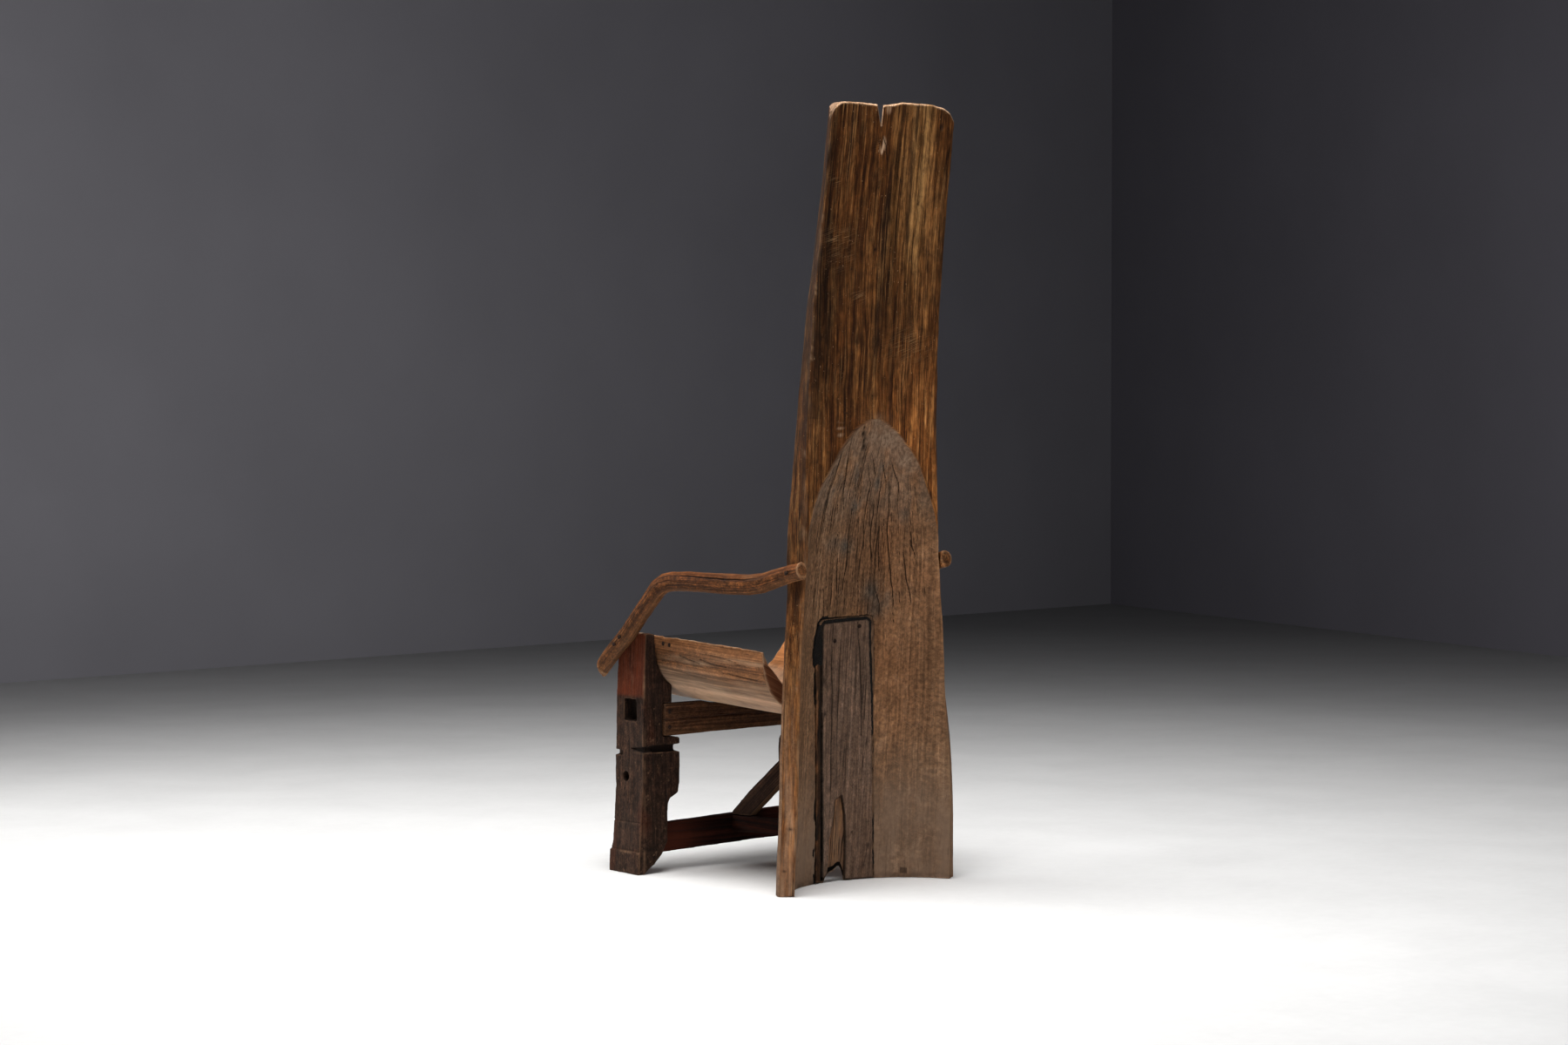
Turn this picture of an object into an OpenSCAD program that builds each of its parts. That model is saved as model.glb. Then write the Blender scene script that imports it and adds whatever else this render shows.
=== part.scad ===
// Throne chair: a tall back plank hollowed from a split log, a trough shaped
// seat shell, two reused front posts, two naturally bent branches as arms.
// Millimetres. +Z up, the sitter faces -Y, the sitter's left is +X.
// Origin: on the floor, under the centre of the bounding box.

/* [Back plank] */
// Height of the back plank above the floor
back_h = 1583; // [1560:1:1620]
// Height of the pointed top of the hollow above the floor
hollow_top = 941; // [935:1:955]
// Depth of the hollow at the floor
hollow_depth = 117; // [108:1:120]
// Wall left in front of the hollow
back_wall = 33; // [31:1:38]
// Height of the V shaped split in the top end
split_h = 48; // [20:1:80]

/* [Seat shell] */
// Height of the rims at the front end
seat_rim_h = 509; // [503:1:513]
// Drop of the rims towards the back
seat_drop = 24; // [18:1:28]
// Half width over the rims at the front end
seat_half_front = 236; // [232:1:238]
// Half width over the rims at the back end
seat_half_back = 194; // [190:1:200]
// Depth of the outside of the trough below its rims
seat_depth = 155; // [150:1:157]

/* [Front legs] */
// Height of the front legs
leg_h = 505; // [500:1:506]
// Depth of the square mortise left in the outer face
mortise_depth = 24; // [5:1:34]

/* [Rails and stretchers] */
// Thickness of the upper front rail
upper_rail_t = 22; // [14:1:26]
// Thickness of the lower front rail
lower_rail_t = 24; // [16:1:40]
// Thickness of the diagonal brace
brace_t = 19; // [14:1:24]
// Width of the centre stretcher
stretcher_w = 22; // [16:1:40]

/* [Fastenings] */
// Diameter of the nail shanks
nail_d = 4.4; // [3:0.1:5.5]
// Diameter of the nail heads
nail_head_d = 9; // [7:0.5:12]

/* [Hidden] */

// Everything below is drawn with y = 0 at the back plank's rear foot and the
// front at negative y. This shift centres the bounding box on the origin.
y_shift = 241.5;
y_seat_back = -110;
y_seat_front = -540;
y_leg_back = -437;
y_mortise = -130;

// ------------------------------------------------------------------ helpers
function clamp01(v) = min(1, max(0, v));
function mix(a, b, t) = a + (b - a) * t;

// Solid between two convex rings that have the same point count.
module prismoid(a, b) {
    n = len(a);
    polyhedron(
        points = concat(a, b),
        faces = concat(
            [[for (i = [0:n - 1]) i]],
            [for (i = [0:n - 1]) each [
                [i, n + i, (i + 1) % n],
                [(i + 1) % n, n + i, n + (i + 1) % n]]],
            [[for (i = [0:n - 1]) n + (n - 1 - i)]]),
        convexity = 4);
}
// Solid through a list of convex rings, one hull from each ring to the next.
module chain(rings) {
    for (j = [0:len(rings) - 2]) hull()
        polyhedron(points = concat(rings[j], rings[j + 1]),
            faces = [[for (i = [0:2 * len(rings[j]) - 1]) i]]);
}

// ------------------------------------------------- section of the back plank
// The plank's rear edges: left and right, seen from the sitter, and how far
// the rear face lies behind the rear foot.
function x_left(z) = lookup(z, [[0, 200], [300, 197], [450, 193], [600, 184],
    [670, 178], [950, 178], [1170, 179], [1310, 175], [1420, 172], [1600, 172]]);
function x_right(z) = -lookup(z, [[0, 214], [90, 211], [160, 208], [235, 204],
    [310, 197], [380, 190], [450, 186], [520, 183], [600, 176], [670, 171],
    [810, 168], [950, 160], [1025, 157], [1095, 153], [1170, 150], [1310, 148],
    [1450, 150], [1600, 151]]);
function y_rear(z) = lookup(z, [[0, 0], [150, 8], [300, 12], [780, 13],
    [900, 17], [1000, 23], [1150, 38], [1350, 60], [1600, 89]]);

// Side edge of the plank: how far its front corner lies forward of and
// outside the rear edge.
function side_fwd(z) = lookup(z, [[0, 19], [300, 24], [450, 28], [520, 34],
    [600, 40], [670, 48], [810, 46], [880, 44], [950, 42], [1100, 38],
    [1240, 32], [1380, 28], [1600, 25]]);
function side_out(z) = lookup(z, [[0, 23], [300, 23], [450, 18], [520, 15],
    [600, 12], [670, 13], [740, 10], [810, 5], [880, 0], [950, -2],
    [1100, -6], [1240, -8], [1380, -10], [1600, -12]]);

// Depth of the hollow on its centre line, and its half width at the rear face.
function hollow_d(z) = z >= hollow_top ? 0
    : hollow_depth * (1 - exp(-(hollow_top - z) / 400)) / 0.905;
function hollow_half(z) = z >= hollow_top ? 16
    : 171 * sqrt(max(0.0002, 1 - pow(clamp01((z - 700) / (hollow_top - 700)), 1.5)));
function front_d(z, wall) = z > 1000 ? lookup(z, [[1000, 50], [1100, 46], [1310, 36], [1600, 30]])
    : max(hollow_d(z) + wall, lookup(z, [[800, 40], [941, 52], [1000, 50]]));

// The hollow's profile from the left edge to the right edge, closed behind the
// rear face, and the plank's outer profile. Forward is negative y.
rear_n = 22;
front_n = 20;
function hollow_pt(z, k) =
    let (low = z < 700,
         a = low ? x_left(z) - 2 : 2 + hollow_half(z),
         b = low ? x_right(z) + 2 : 2 - hollow_half(z),
         u = -cos(180 * k / rear_n),
         x = mix(a, b, (1 + u) / 2),
         g = pow(max(0, 1 - pow(abs(u), 2.6)), 0.9))
    [x, y_rear(z) - hollow_d(z) * g, z];
function hollow_ring(z, shift) =
    let (r = [for (k = [0:rear_n]) hollow_pt(z, k) + [0, k == 0 || k == rear_n ? 0 : -shift, 0]])
    concat(r, [[r[rear_n][0], 80, z], [r[0][0], 80, z]]);
function front_pt(z, k, wall) =
    let (ang = 180 * k / front_n,
         xs = cos(ang) >= 0 ? x_right(z) - side_out(z) : x_left(z) + side_out(z),
         ys = side_fwd(z), yf = max(ys + 4, front_d(z, wall)),
         n = z < 940 ? 1.6 : 1.9,
         c = pow(abs(cos(ang)), 2 / n), s = pow(abs(sin(ang)), 2 / n))
    [xs * c, y_rear(z) - ys - (yf - ys) * s, z];
function plank_ring(z, wall) = concat(
    [[x_left(z), y_rear(z), z], [x_right(z), y_rear(z), z]],
    [for (k = [0:front_n]) front_pt(z, k, wall)]);
plank_z = concat([for (z = [0:90:900]) z], [for (z = [970:70:1600]) z]);
hollow_z = concat([-2], [for (z = [90:90:630]) z], [699, 701, 740, 780, 820, 855,
    885, 908, 925, 935, hollow_top - 0.3]);

// The plank before anything is cut from it, and the room inside its hollow,
// or the same room moved forward by a depth into the wall.
module plank_body(wall) { chain([for (z = plank_z) plank_ring(z, wall)]); }
module hollow_room(shift) { chain([for (z = hollow_z) hollow_ring(z, shift)]); }

// Outline of the plank's top, seen from behind: worn round corners and a
// slightly wavy end.
module top_outline() {
    polygon([[-300, -1], [300, -1], [300, 1400], [176, 1500], [173, back_h - 50],
        [169, back_h - 34], [163, back_h - 22], [155, back_h - 14], [146, back_h - 9],
        [130, back_h - 7.5], [57, back_h - 8.5], [43, back_h - 11], [-10, back_h - 1], [-88, back_h],
        [-118, back_h - 5], [-137, back_h - 14], [-148, back_h - 30],
        [-153, 1530], [-156, 1500], [-300, 1400]]);
}

// Flat landing where the seat shell and the brace butt against the rounded
// front of the plank, and the mortise that takes the stretcher's end.
module plank_landings() {
    translate([-150, y_seat_back - 60, 286]) cube([300, 60, 230]);
    translate([10 - stretcher_w, y_mortise - 60, stretcher_top(y_mortise) - 36])
        cube([stretcher_w, 60, 36]);
}

// The inset board and the narrow filler beside it, seen along y, and the one
// recess in the hollow's wall that takes both of them.
inset_outline = [[33, 3], [72, 531], [68, 536], [-46, 541], [-51, 536],
    [-52.5, 507], [-65.5, 381], [-79.5, 199], [-92.5, 3]];
filler_outline = [[41, 3], [53, 3], [68.9, 209], [87.4, 450], [84, 455],
    [76, 453], [74.3, 448], [56.4, 209]];
recess_outline = [[55, 3], [70.5, 209], [89.5, 450], [94, 456], [97.5, 480],
    [95, 505], [88, 530], [82, 541], [74, 545], [-52, 549.5], [-59, 545],
    [-63, 530], [-67, 470], [-73, 420], [-71, 395], [-83, 199], [-96, 3]];
recess_d = 11;
module along_y(pts, y0, y1) {
    translate([0, y0, 0]) rotate([90, 0, 0]) linear_extrude(y0 - y1) polygon(pts);
}
// A layer of the hollow's wall, from one depth below its face to another.
module wall_layer(depth, from = 0) {
    difference() {
        hollow_room(depth);
        hollow_room(from);
    }
}
// The same prism cut askew through the wall, true at the rear side y = at.
module skew_y(pts, y0, y1, at) {
    k = 0.78;
    multmatrix([[1, k, 0, -k * at], [0, 1, 0, 0], [0, 0, 1, 0], [0, 0, 0, 1]])
        along_y(pts, y0, y1);
}
// The hollow's face behind the rear foot, for heights below 700.
function hollow_y(x, z) =
    let (a = x_left(z) - 2, b = x_right(z) + 2, u = 2 * (x - a) / (b - a) - 1)
    y_rear(z) - hollow_d(z) * pow(1 - pow(abs(u), 2.6), 0.9);

// --------------------------------------------------- section of the seat
// Outside of the trough below a rim: distance inwards and down.
seat_out = [[0, 0], [1.5, 20], [4, 42], [9, 62], [17, 81], [29, 97], [47, 111],
    [70, 126], [105, 142], [150, 151]];
seat_in = [[7, 0], [10, 12], [19, 28], [33, 43], [50, 61], [68, 82], [88, 97],
    [112, 108], [150, 115]];
function seat_t(y) = (y_seat_back - y) / (y_seat_back - y_seat_front);
function seat_half(y) = mix(seat_half_back, seat_half_front, seat_t(y));
function seat_rim(y) = seat_rim_h - seat_drop * (1 - seat_t(y));
function seat_bottom(y) = seat_rim(y) - seat_depth;
// The same outside, filled up to well above the rims: the room it takes.
function seat_room(y) =
    let (h = seat_half(y), r = seat_rim(y), no = len(seat_out))
    concat(
        [[h, y, r + 60]],
        [for (i = [0:no - 1]) [h - seat_out[i][0], y, r - seat_out[i][1] * seat_depth / 155]],
        [[0, y, r - seat_depth]],
        [for (i = [0:no - 1]) [-(h - seat_out[no - 1 - i][0]), y, r - seat_out[no - 1 - i][1] * seat_depth / 155]],
        [[-h, y, r + 60]]);
module seat_void() { prismoid(seat_room(-600), seat_room(-40)); }
// The inside of the trough, open above the rims.
function seat_inner(y) =
    let (h = seat_half(y), r = seat_rim(y), ni = len(seat_in))
    concat(
        [[h - seat_in[0][0] + 4, y, r + 40]],
        [for (i = [0:ni - 1]) [h - seat_in[i][0], y, r - seat_in[i][1]]],
        [[0, y, r - 117]],
        [for (i = [0:ni - 1]) [-(h - seat_in[ni - 1 - i][0]), y, r - seat_in[ni - 1 - i][1]]],
        [[-(h - seat_in[0][0] + 4), y, r + 40]]);
// The end's right side may lie forward of its left side by a skew.
function seat_outer(y, skew = 0) =
    let (h = seat_half(y), r = seat_rim(y), no = len(seat_out),
        pts = concat(
            [for (i = [0:no - 1]) [h - seat_out[i][0], y, r - seat_out[i][1] * seat_depth / 155]],
            [[0, y, r - seat_depth]],
            [for (i = [0:no - 1]) [-(h - seat_out[no - 1 - i][0]), y, r - seat_out[no - 1 - i][1] * seat_depth / 155]]))
    [for (p = pts) [p[0], p[1] - skew * (h - p[0]) / (2 * h), p[2]]];

// ------------------------------------------------------------ the back plank
module back_plank() {
    color("#4a2c17") translate([0, y_shift, 0]) difference() {
        intersection() {
            plank_body(back_wall);
            translate([0, 150, 0]) rotate([90, 0, 0]) linear_extrude(400) top_outline();
        }
        hollow_room(0);
        // the V shaped split in the top end, askew like the wood's rays
        skew_y([[59, back_h + 5], [44, back_h + 5], [43.5, back_h - split_h]], 150, 0, 87);
        // the rotted notch in the plank's foot, behind the board
        skew_y([[34, -2], [33, 14], [21, 20], [9, 23], [4, 28], [-2.5, 32], [-8, 31],
            [-11, 26], [-15.7, 13.5], [-18, -2]], -80, -180, -113);
        plank_landings();
        // recess for the inset board, the filler strip and their pitch
        intersection() {
            hollow_room(recess_d);
            along_y(recess_outline, 40, -200);
        }
        // nail holes
        for (s = [-1, 1]) arm_back_nail(s);
        for (s = [-1, 1]) seat_back_nail(s);
        brace_head_nail();
    }
}

module inset_board() {
    color("#4b3a2c") translate([0, y_shift, 0]) difference() {
        intersection() {
            wall_layer(recess_d);
            along_y(inset_outline, 40, -200);
        }
        // broken out lower left part of the board
        along_y([[34, -2], [34, 8], [22, 20], [20, 50], [21, 89], [15, 115], [12, 137],
            [12, 171], [4, 173], [-7, 182], [-10, 169], [-18, 136], [-23, 91],
            [-25, 57], [-26, -2]], 40, -200);
        for (i = [0, 1]) inset_nail(i);
    }
}

module filler_strip() {
    color("#6b4a33") translate([0, y_shift, 0]) intersection() {
        wall_layer(recess_d);
        along_y(filler_outline, 40, -200);
    }
}

// Pitch in the joints round the inset board and the filler strip. It stands
// almost flush above the strip and lies deep in the joint beside it.
module pitch_caulking() {
    color("#15110e") translate([0, y_shift, 0]) difference() {
        intersection() {
            wall_layer(recess_d, 1.5);
            along_y(recess_outline, 40, -200);
        }
        along_y(inset_outline, 60, -220);
        along_y(filler_outline, 60, -220);
        along_y([[-96, 2], [-25, 2], [-18, 136], [-8, 200], [12, 200], [12, 137], [22, 20], [33, 2],
            [33.5, 3], [72, 531], [-51, 536], [-92, 2.5]], 60, -220);
        intersection() {
            hollow_room(6);
            along_y([[30, 2], [60, 2], [70.7, 209], [91, 452], [66, 452]], 60, -220);
        }
    }
}

// ------------------------------------------------------------------ the arms
// Centre line of a naturally bent branch, with its half thickness across (x)
// and in its own plane: back end first, elbow, then the slanting post, whose
// end is cut off upright. The right arm's back end sits higher and closer in.
arm_path = [
    [195, 21, 651, 15, 19], [198, -16, 643, 16, 20], [204, -53, 632, 17, 21],
    [211, -86, 622, 18, 22], [219, -120, 617, 18, 23], [232, -186, 617, 18, 23],
    [248, -268, 619, 19, 22], [257, -325, 618, 19, 22], [262, -350, 613, 20, 22],
    [265, -368, 603, 20, 22], [267, -385, 585, 20, 21], [269, -426, 546, 20, 20],
    [270, -469, 504, 19, 20], [271, -510, 473, 18, 20], [271, -540, 449, 17, 21],
    [271, -565, 428, 15, 22]];
arm_sides = 12;
function unit(v) = v / norm(v);
function arm_c(i, up) =
    let (p = arm_path[i], w = clamp01((400 + p[1]) / 400)) [p[0] - 0.9 * up * w, p[1], p[2] + up * w];
function arm_ring(i, up) =
    let (last = len(arm_path) - 1,
         t = i == last ? unit([0, -1, -0.25])
             : unit(arm_c(min(i + 1, last), up) - arm_c(max(i - 1, 0), up)),
         s = unit([1, 0, 0] - t * t[0]),
         u = cross(t, s), p = arm_path[i], c = arm_c(i, up))
    [for (k = [0:arm_sides - 1])
        let (a = 360 * (k + 0.5) / arm_sides,
             r = 1 + 0.05 * cos(3 * a + 20 * i))
        c + s * (p[3] * r * cos(a)) + u * (p[4] * r * sin(a))];
module arm_body(up) {
    chain([for (i = [0:len(arm_path) - 1]) arm_ring(i, up)]);
}
module arm(up) {
    difference() {
        arm_body(up);
        plank_body(back_wall);
        leg_block();
        arm_back_nail(1, up);
        for (i = [0, 1]) arm_leg_nail(1, i);
    }
}
module left_arm() { color("#8a5431") translate([0, y_shift, 0]) arm(0); }
module right_arm() {
    color("#85522f") translate([0, y_shift, 0]) mirror([1, 0, 0]) difference() {
        arm_body(14.5);
        mirror([1, 0, 0]) plank_body(back_wall);
        right_leg_block();
        mirror([1, 0, 0]) arm_back_nail(-1);
        for (i = [0, 1]) arm_leg_nail(1, i);
    }
}

// ------------------------------------------------------------ the front legs
// A reused turned-about post: plinth foot with a bracket curve, a grooved
// block, and a top cut back where the seat shell passes.
module leg_front_outline() {
    polygon([[267, 0], [265.5, 46], [264, 83], [257.5, 190], [255, 370], [250, leg_h],
        [181, leg_h], [181, 287], [160.5, 284], [160.5, 269.5], [171, 268],
        [171, 256], [161, 253.5], [160.5, 243], [160.5, 190], [166, 166],
        [185.5, 156.5], [190, 147], [192, 130], [192, 68], [206, 41],
        [226, 19], [244, 8], [252, 0]]);
}
// The right post is a plainer one of the same shape, set a little further out.
module right_leg_front_outline() {
    polygon([[276, 0], [274.5, 46], [273, 83], [266.5, 190], [264, 370], [259, leg_h],
        [198, leg_h], [198, 300], [196, 276], [190, 267], [184, 262], [178, 253],
        [178, 190], [183, 166], [202, 156.5], [207, 147], [209, 130], [209, 68],
        [221, 41], [239, 19], [255, 8], [262, 0]]);
}
module leg_side_outline() {
    // y forward is to the left: [y, z]
    polygon([[y_leg_back, -1], [y_leg_back, leg_h + 1], [-535, leg_h + 1],
        [-536, 420], [-537, 260], [-539, 235], [-536, 112], [-533.5, 109],
        [-535.5, 106], [-535.5, 64], [-544, 46], [-545.5, -1]]);
}
module leg_block() {
    intersection() {
        translate([0, -400, 0]) rotate([90, 0, 0]) linear_extrude(180) leg_front_outline();
        translate([100, 0, 0]) rotate([90, 0, 90]) linear_extrude(220) leg_side_outline();
    }
}
// the same for the right post, still drawn on the left side
module right_leg_block() {
    intersection() {
        translate([0, -400, 0]) rotate([90, 0, 0]) linear_extrude(180) right_leg_front_outline();
        translate([100, 0, 0]) rotate([90, 0, 90]) linear_extrude(220) leg_side_outline();
    }
}
module left_front_leg() {
    color("#3a241b") translate([0, y_shift, 0]) difference() {
        leg_block();
        seat_void();
        union() {
            // moulded groove round the rear and inner faces
            translate([150, y_leg_back - 7, 256]) cube([81, 20, 12]);
            // notch sawn in from the front edge of the outer face
            translate([247, -560, 246]) cube([30, 47, 10]);
            // empty square mortise and round peg hole in the outer face
            translate([256 - mortise_depth, -508, 320]) cube([mortise_depth + 20, 44, 45]);
            translate([236, -500, 202]) rotate([0, 90, 0]) cylinder(d = 20, h = 40, $fn = 32);
            // housing for the upper rail
            upper_rail_blank();
            for (i = [0, 1]) arm_leg_nail(1, i);
            for (i = [0, 1]) upper_rail_nail(1, i);
            // mortise for the lower rail's tenon
            lower_rail_tenon(1);
        }
    }
}
module right_front_leg() {
    color("#3a241b") translate([0, y_shift, 0]) difference() {
        mirror([1, 0, 0]) right_leg_block();
        seat_void();
        upper_rail_blank();
        for (i = [0, 1]) arm_leg_nail(-1, i);
        for (i = [0, 1]) upper_rail_nail(-1, i);
        lower_rail_tenon(-1);
    }
}

// ------------------------------------------------------------ the seat shell
module seat_shell() {
    color("#8a5a38") translate([0, y_shift, 0]) difference() {
        prismoid(seat_outer(y_seat_front, 12), seat_outer(y_seat_back));
        prismoid(seat_inner(y_seat_front - 40), seat_inner(y_seat_back + 40));
        for (s = [-1, 1], i = [0, 1]) seat_rim_nail(s, i);
        for (s = [-1, 1], i = [0, 1]) arm_leg_nail(s, i);
        for (s = [-1, 1]) seat_back_nail(s);
    }
}

// ------------------------------------------------------- rails and stretchers
module upper_front_rail() {
    color("#4a2f1f") translate([0, y_shift, 0]) difference() {
        upper_rail_blank();
        seat_void();
        for (s = [-1, 1], i = [0, 1]) upper_rail_nail(s, i);
    }
}
module upper_rail_blank() {
    // board across the back of the front legs, housed 16 mm deep in them
    translate([0, -431, 0]) rotate([90, 0, 0]) linear_extrude(upper_rail_t)
        polygon([[205, 287], [-222, 294.5], [-222, 360], [205, 357]]);
}
module lower_front_rail() {
    color("#3b1d15") translate([0, y_shift, 0]) union() {
        difference() {
            translate([0, -460, 0]) rotate([90, 0, 0]) linear_extrude(lower_rail_t)
                polygon([[232, 38], [-232, 52], [-232, 117], [232, 101]]);
            leg_block();
            mirror([1, 0, 0]) right_leg_block();
        }
        for (s = [-1, 1]) lower_rail_tenon(s);
    }
}
// stub tenon of the lower rail inside the leg's lower block
module lower_rail_tenon(s) {
    translate([s > 0 ? 186 : -243, -466 - lower_rail_t / 2, 72]) cube([s > 0 ? 40 : 39, lower_rail_t / 2, 26]);
}
// top of the stretcher and the brace's upper edge, as heights over y
function stretcher_top(y) = 106 + ( -y - 459) * -0.042;
function brace_top(y) = lookup(y, [[-459, 114.5], [-395.6, 165.4], [-296.4, 237.2], [-96.4, 382]]);
module centre_stretcher() {
    color("#33201a") translate([0, y_shift, 0]) difference() {
        translate([10 - stretcher_w, 0, 0]) rotate([90, 0, 90]) linear_extrude(stretcher_w)
            polygon([[-460, stretcher_top(-460)], [-460, stretcher_top(-460) - 36],
                [y_mortise, stretcher_top(y_mortise) - 36], [y_mortise, stretcher_top(y_mortise)]]);
        brace_foot_nail();
    }
}
module brace_blank() {
    translate([10 - brace_t, 0, 0]) rotate([90, 0, 90]) linear_extrude(brace_t)
        polygon([[-459.5, stretcher_top(-459)], [-459.5, 112], [-456, 116.9],
            [-395.6, brace_top(-395.6)], [-296.4, brace_top(-296.4)],
            [y_seat_back, brace_top(y_seat_back)], [y_seat_back, 323],
            [-394, stretcher_top(-394)]]);
}
module diagonal_brace() {
    color("#3a2720") translate([0, y_shift, 0]) difference() {
        brace_blank();
        seat_void();
        brace_foot_nail();
        brace_head_nail();
    }
}

// ------------------------------------------------------------------ fastenings
// A wrought nail along +x: head at the origin, shank pointing to -x.
module nail(len) {
    rotate([0, -90, 0]) cylinder(d = nail_d, h = len, $fn = 16);
    rotate([0, 90, 0]) rotate_extrude($fn = 24)
        polygon([[0, 0], [nail_head_d / 2, 0], [nail_head_d / 2 - 0.6, 1], [nail_head_d / 5, 2.1], [0, 2.3]]);
}
function arm_surface_x(i) = arm_path[i][0] + arm_path[i][3];
module arm_back_nail(s, up = 0) {
    mirror([s < 0 ? 1 : 0, 0, 0]) translate([s < 0 ? 200.4 : 214.4, -8, s < 0 ? 659 : 645]) nail(s < 0 ? 28 : 34);
}
module arm_back_nails() {
    color("#1d1a18") translate([0, y_shift, 0]) for (s = [-1, 1]) arm_back_nail(s);
}
module arm_leg_nail(s, i) {
    mirror([s < 0 ? 1 : 0, 0, 0]) translate([289, i == 0 ? -478 : -497, i == 0 ? 497 : 481]) nail(67);
}
module arm_leg_nails() {
    color("#1d1a18") translate([0, y_shift, 0]) for (s = [-1, 1], i = [0, 1]) arm_leg_nail(s, i);
}
module seat_rim_nail(s, i) {
    // short nails in the outside of the shell, just behind the leg
    mirror([s < 0 ? 1 : 0, 0, 0]) translate([seat_half(-413 + 19 * i) - 1.5, -413 + 19 * i, 484 - 2 * i])
        nail(9);
}
module seat_rim_nails() {
    color("#1d1a18") translate([0, y_shift, 0]) for (s = [-1, 1], i = [0, 1]) seat_rim_nail(s, i);
}
module seat_back_nail(s) {
    // sunk in the recess under the inset board, through the plank, into the
    // seat's back end
    translate([s * 46, -99.3, 352]) rotate([0, 0, 90]) nail(46);
}
module seat_back_nails() {
    color("#1d1a18") translate([0, y_shift, 0]) for (s = [-1, 1]) seat_back_nail(s);
}
module upper_rail_nail(s, i) {
    translate([s > 0 ? 192 : -210, -431, 307 + 32 * i]) rotate([0, 0, 90]) nail(60);
}
module upper_rail_nails() {
    color("#1d1a18") translate([0, y_shift, 0]) for (s = [-1, 1], i = [0, 1]) upper_rail_nail(s, i);
}
module inset_nail(i) {
    x = i == 0 ? 37 : -25.7;
    z = i == 0 ? 500 : 528;
    translate([x, hollow_y(x, z), z]) rotate([0, 0, 90]) nail(16);
}
module inset_nails() {
    color("#1d1a18") translate([0, y_shift, 0]) for (i = [0, 1]) inset_nail(i);
}
module brace_foot_nail() {
    // down through the brace's foot into the stretcher
    translate([0.5, -430, brace_top(-430)]) rotate([0, -90, 0]) nail(44);
}
module brace_head_nail() {
    // sunk under the inset board as well, into the end of the brace
    translate([0.5, -103.8, 318]) rotate([0, 0, 90]) nail(46);
}
module brace_nails() {
    color("#1d1a18") translate([0, y_shift, 0]) { brace_foot_nail(); brace_head_nail(); }
}

back_plank();
inset_board();
filler_strip();
pitch_caulking();
left_arm();
right_arm();
left_front_leg();
right_front_leg();
seat_shell();
upper_front_rail();
lower_front_rail();
centre_stretcher();
diagonal_brace();
arm_back_nails();
arm_leg_nails();
seat_rim_nails();
seat_back_nails();
upper_rail_nails();
inset_nails();
brace_nails();
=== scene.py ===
# Looks of the throne chair. Every length is in metres, in the frame of the
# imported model: +Z up, the sitter faces -Y, the sitter's left is +X.
import bpy
import math
import numpy as np
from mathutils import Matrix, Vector


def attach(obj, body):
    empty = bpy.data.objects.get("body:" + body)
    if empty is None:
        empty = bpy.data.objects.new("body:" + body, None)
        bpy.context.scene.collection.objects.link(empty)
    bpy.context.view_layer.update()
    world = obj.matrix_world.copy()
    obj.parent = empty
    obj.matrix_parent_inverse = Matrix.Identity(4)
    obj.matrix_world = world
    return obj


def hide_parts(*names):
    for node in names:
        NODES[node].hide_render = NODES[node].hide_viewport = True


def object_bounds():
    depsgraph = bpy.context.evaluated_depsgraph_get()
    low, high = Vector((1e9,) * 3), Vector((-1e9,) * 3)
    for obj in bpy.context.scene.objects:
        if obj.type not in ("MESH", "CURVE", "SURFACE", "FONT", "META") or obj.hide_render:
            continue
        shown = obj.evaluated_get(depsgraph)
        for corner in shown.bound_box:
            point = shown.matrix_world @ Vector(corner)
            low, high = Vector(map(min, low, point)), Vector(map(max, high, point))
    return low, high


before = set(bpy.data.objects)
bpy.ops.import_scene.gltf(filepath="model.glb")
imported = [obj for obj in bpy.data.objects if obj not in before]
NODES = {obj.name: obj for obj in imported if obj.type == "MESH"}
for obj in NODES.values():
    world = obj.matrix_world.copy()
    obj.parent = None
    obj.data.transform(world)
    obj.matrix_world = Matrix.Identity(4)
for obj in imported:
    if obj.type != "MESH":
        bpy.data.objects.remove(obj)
CAD_BOX = [[float(c) for c in v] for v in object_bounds()]
YS = 0.2415  # the drawing's y shift


# ------------------------------------------------------------------ noise
def _h(ix, iy, iz, seed):
    h = (ix.astype(np.int64).astype(np.uint32) * np.uint32(374761393)
         + iy.astype(np.int64).astype(np.uint32) * np.uint32(668265263)
         + iz.astype(np.int64).astype(np.uint32) * np.uint32(2246822519)
         + np.uint32((seed * 3266489 + 12345) & 0xFFFFFFFF))
    h ^= h >> np.uint32(13)
    h *= np.uint32(1274126177)
    h ^= h >> np.uint32(16)
    return (h & np.uint32(0xFFFFFF)).astype(np.float64) / 0xFFFFFF


def vnoise(p, seed=0):
    """Smooth value noise in -1..1 for an array of points."""
    i = np.floor(p)
    f = p - i
    f = f * f * (3 - 2 * f)
    out = np.zeros(len(p))
    for dx in (0, 1):
        wx = f[:, 0] if dx else 1 - f[:, 0]
        for dy in (0, 1):
            wy = f[:, 1] if dy else 1 - f[:, 1]
            for dz in (0, 1):
                wz = f[:, 2] if dz else 1 - f[:, 2]
                out += wx * wy * wz * _h(i[:, 0] + dx, i[:, 1] + dy, i[:, 2] + dz, seed)
    return out * 2 - 1


def fbm(p, scale=(1, 1, 1), seed=0, octaves=3, gain=0.5):
    q = np.asarray(p, float) * np.asarray(scale, float)
    out, amp, tot = np.zeros(len(q)), 1.0, 0.0
    for o in range(octaves):
        out += amp * vnoise(q + 17.3 * o, seed + 31 * o)
        tot += amp
        amp *= gain
        q = q * 2.03
    return out / tot


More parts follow.
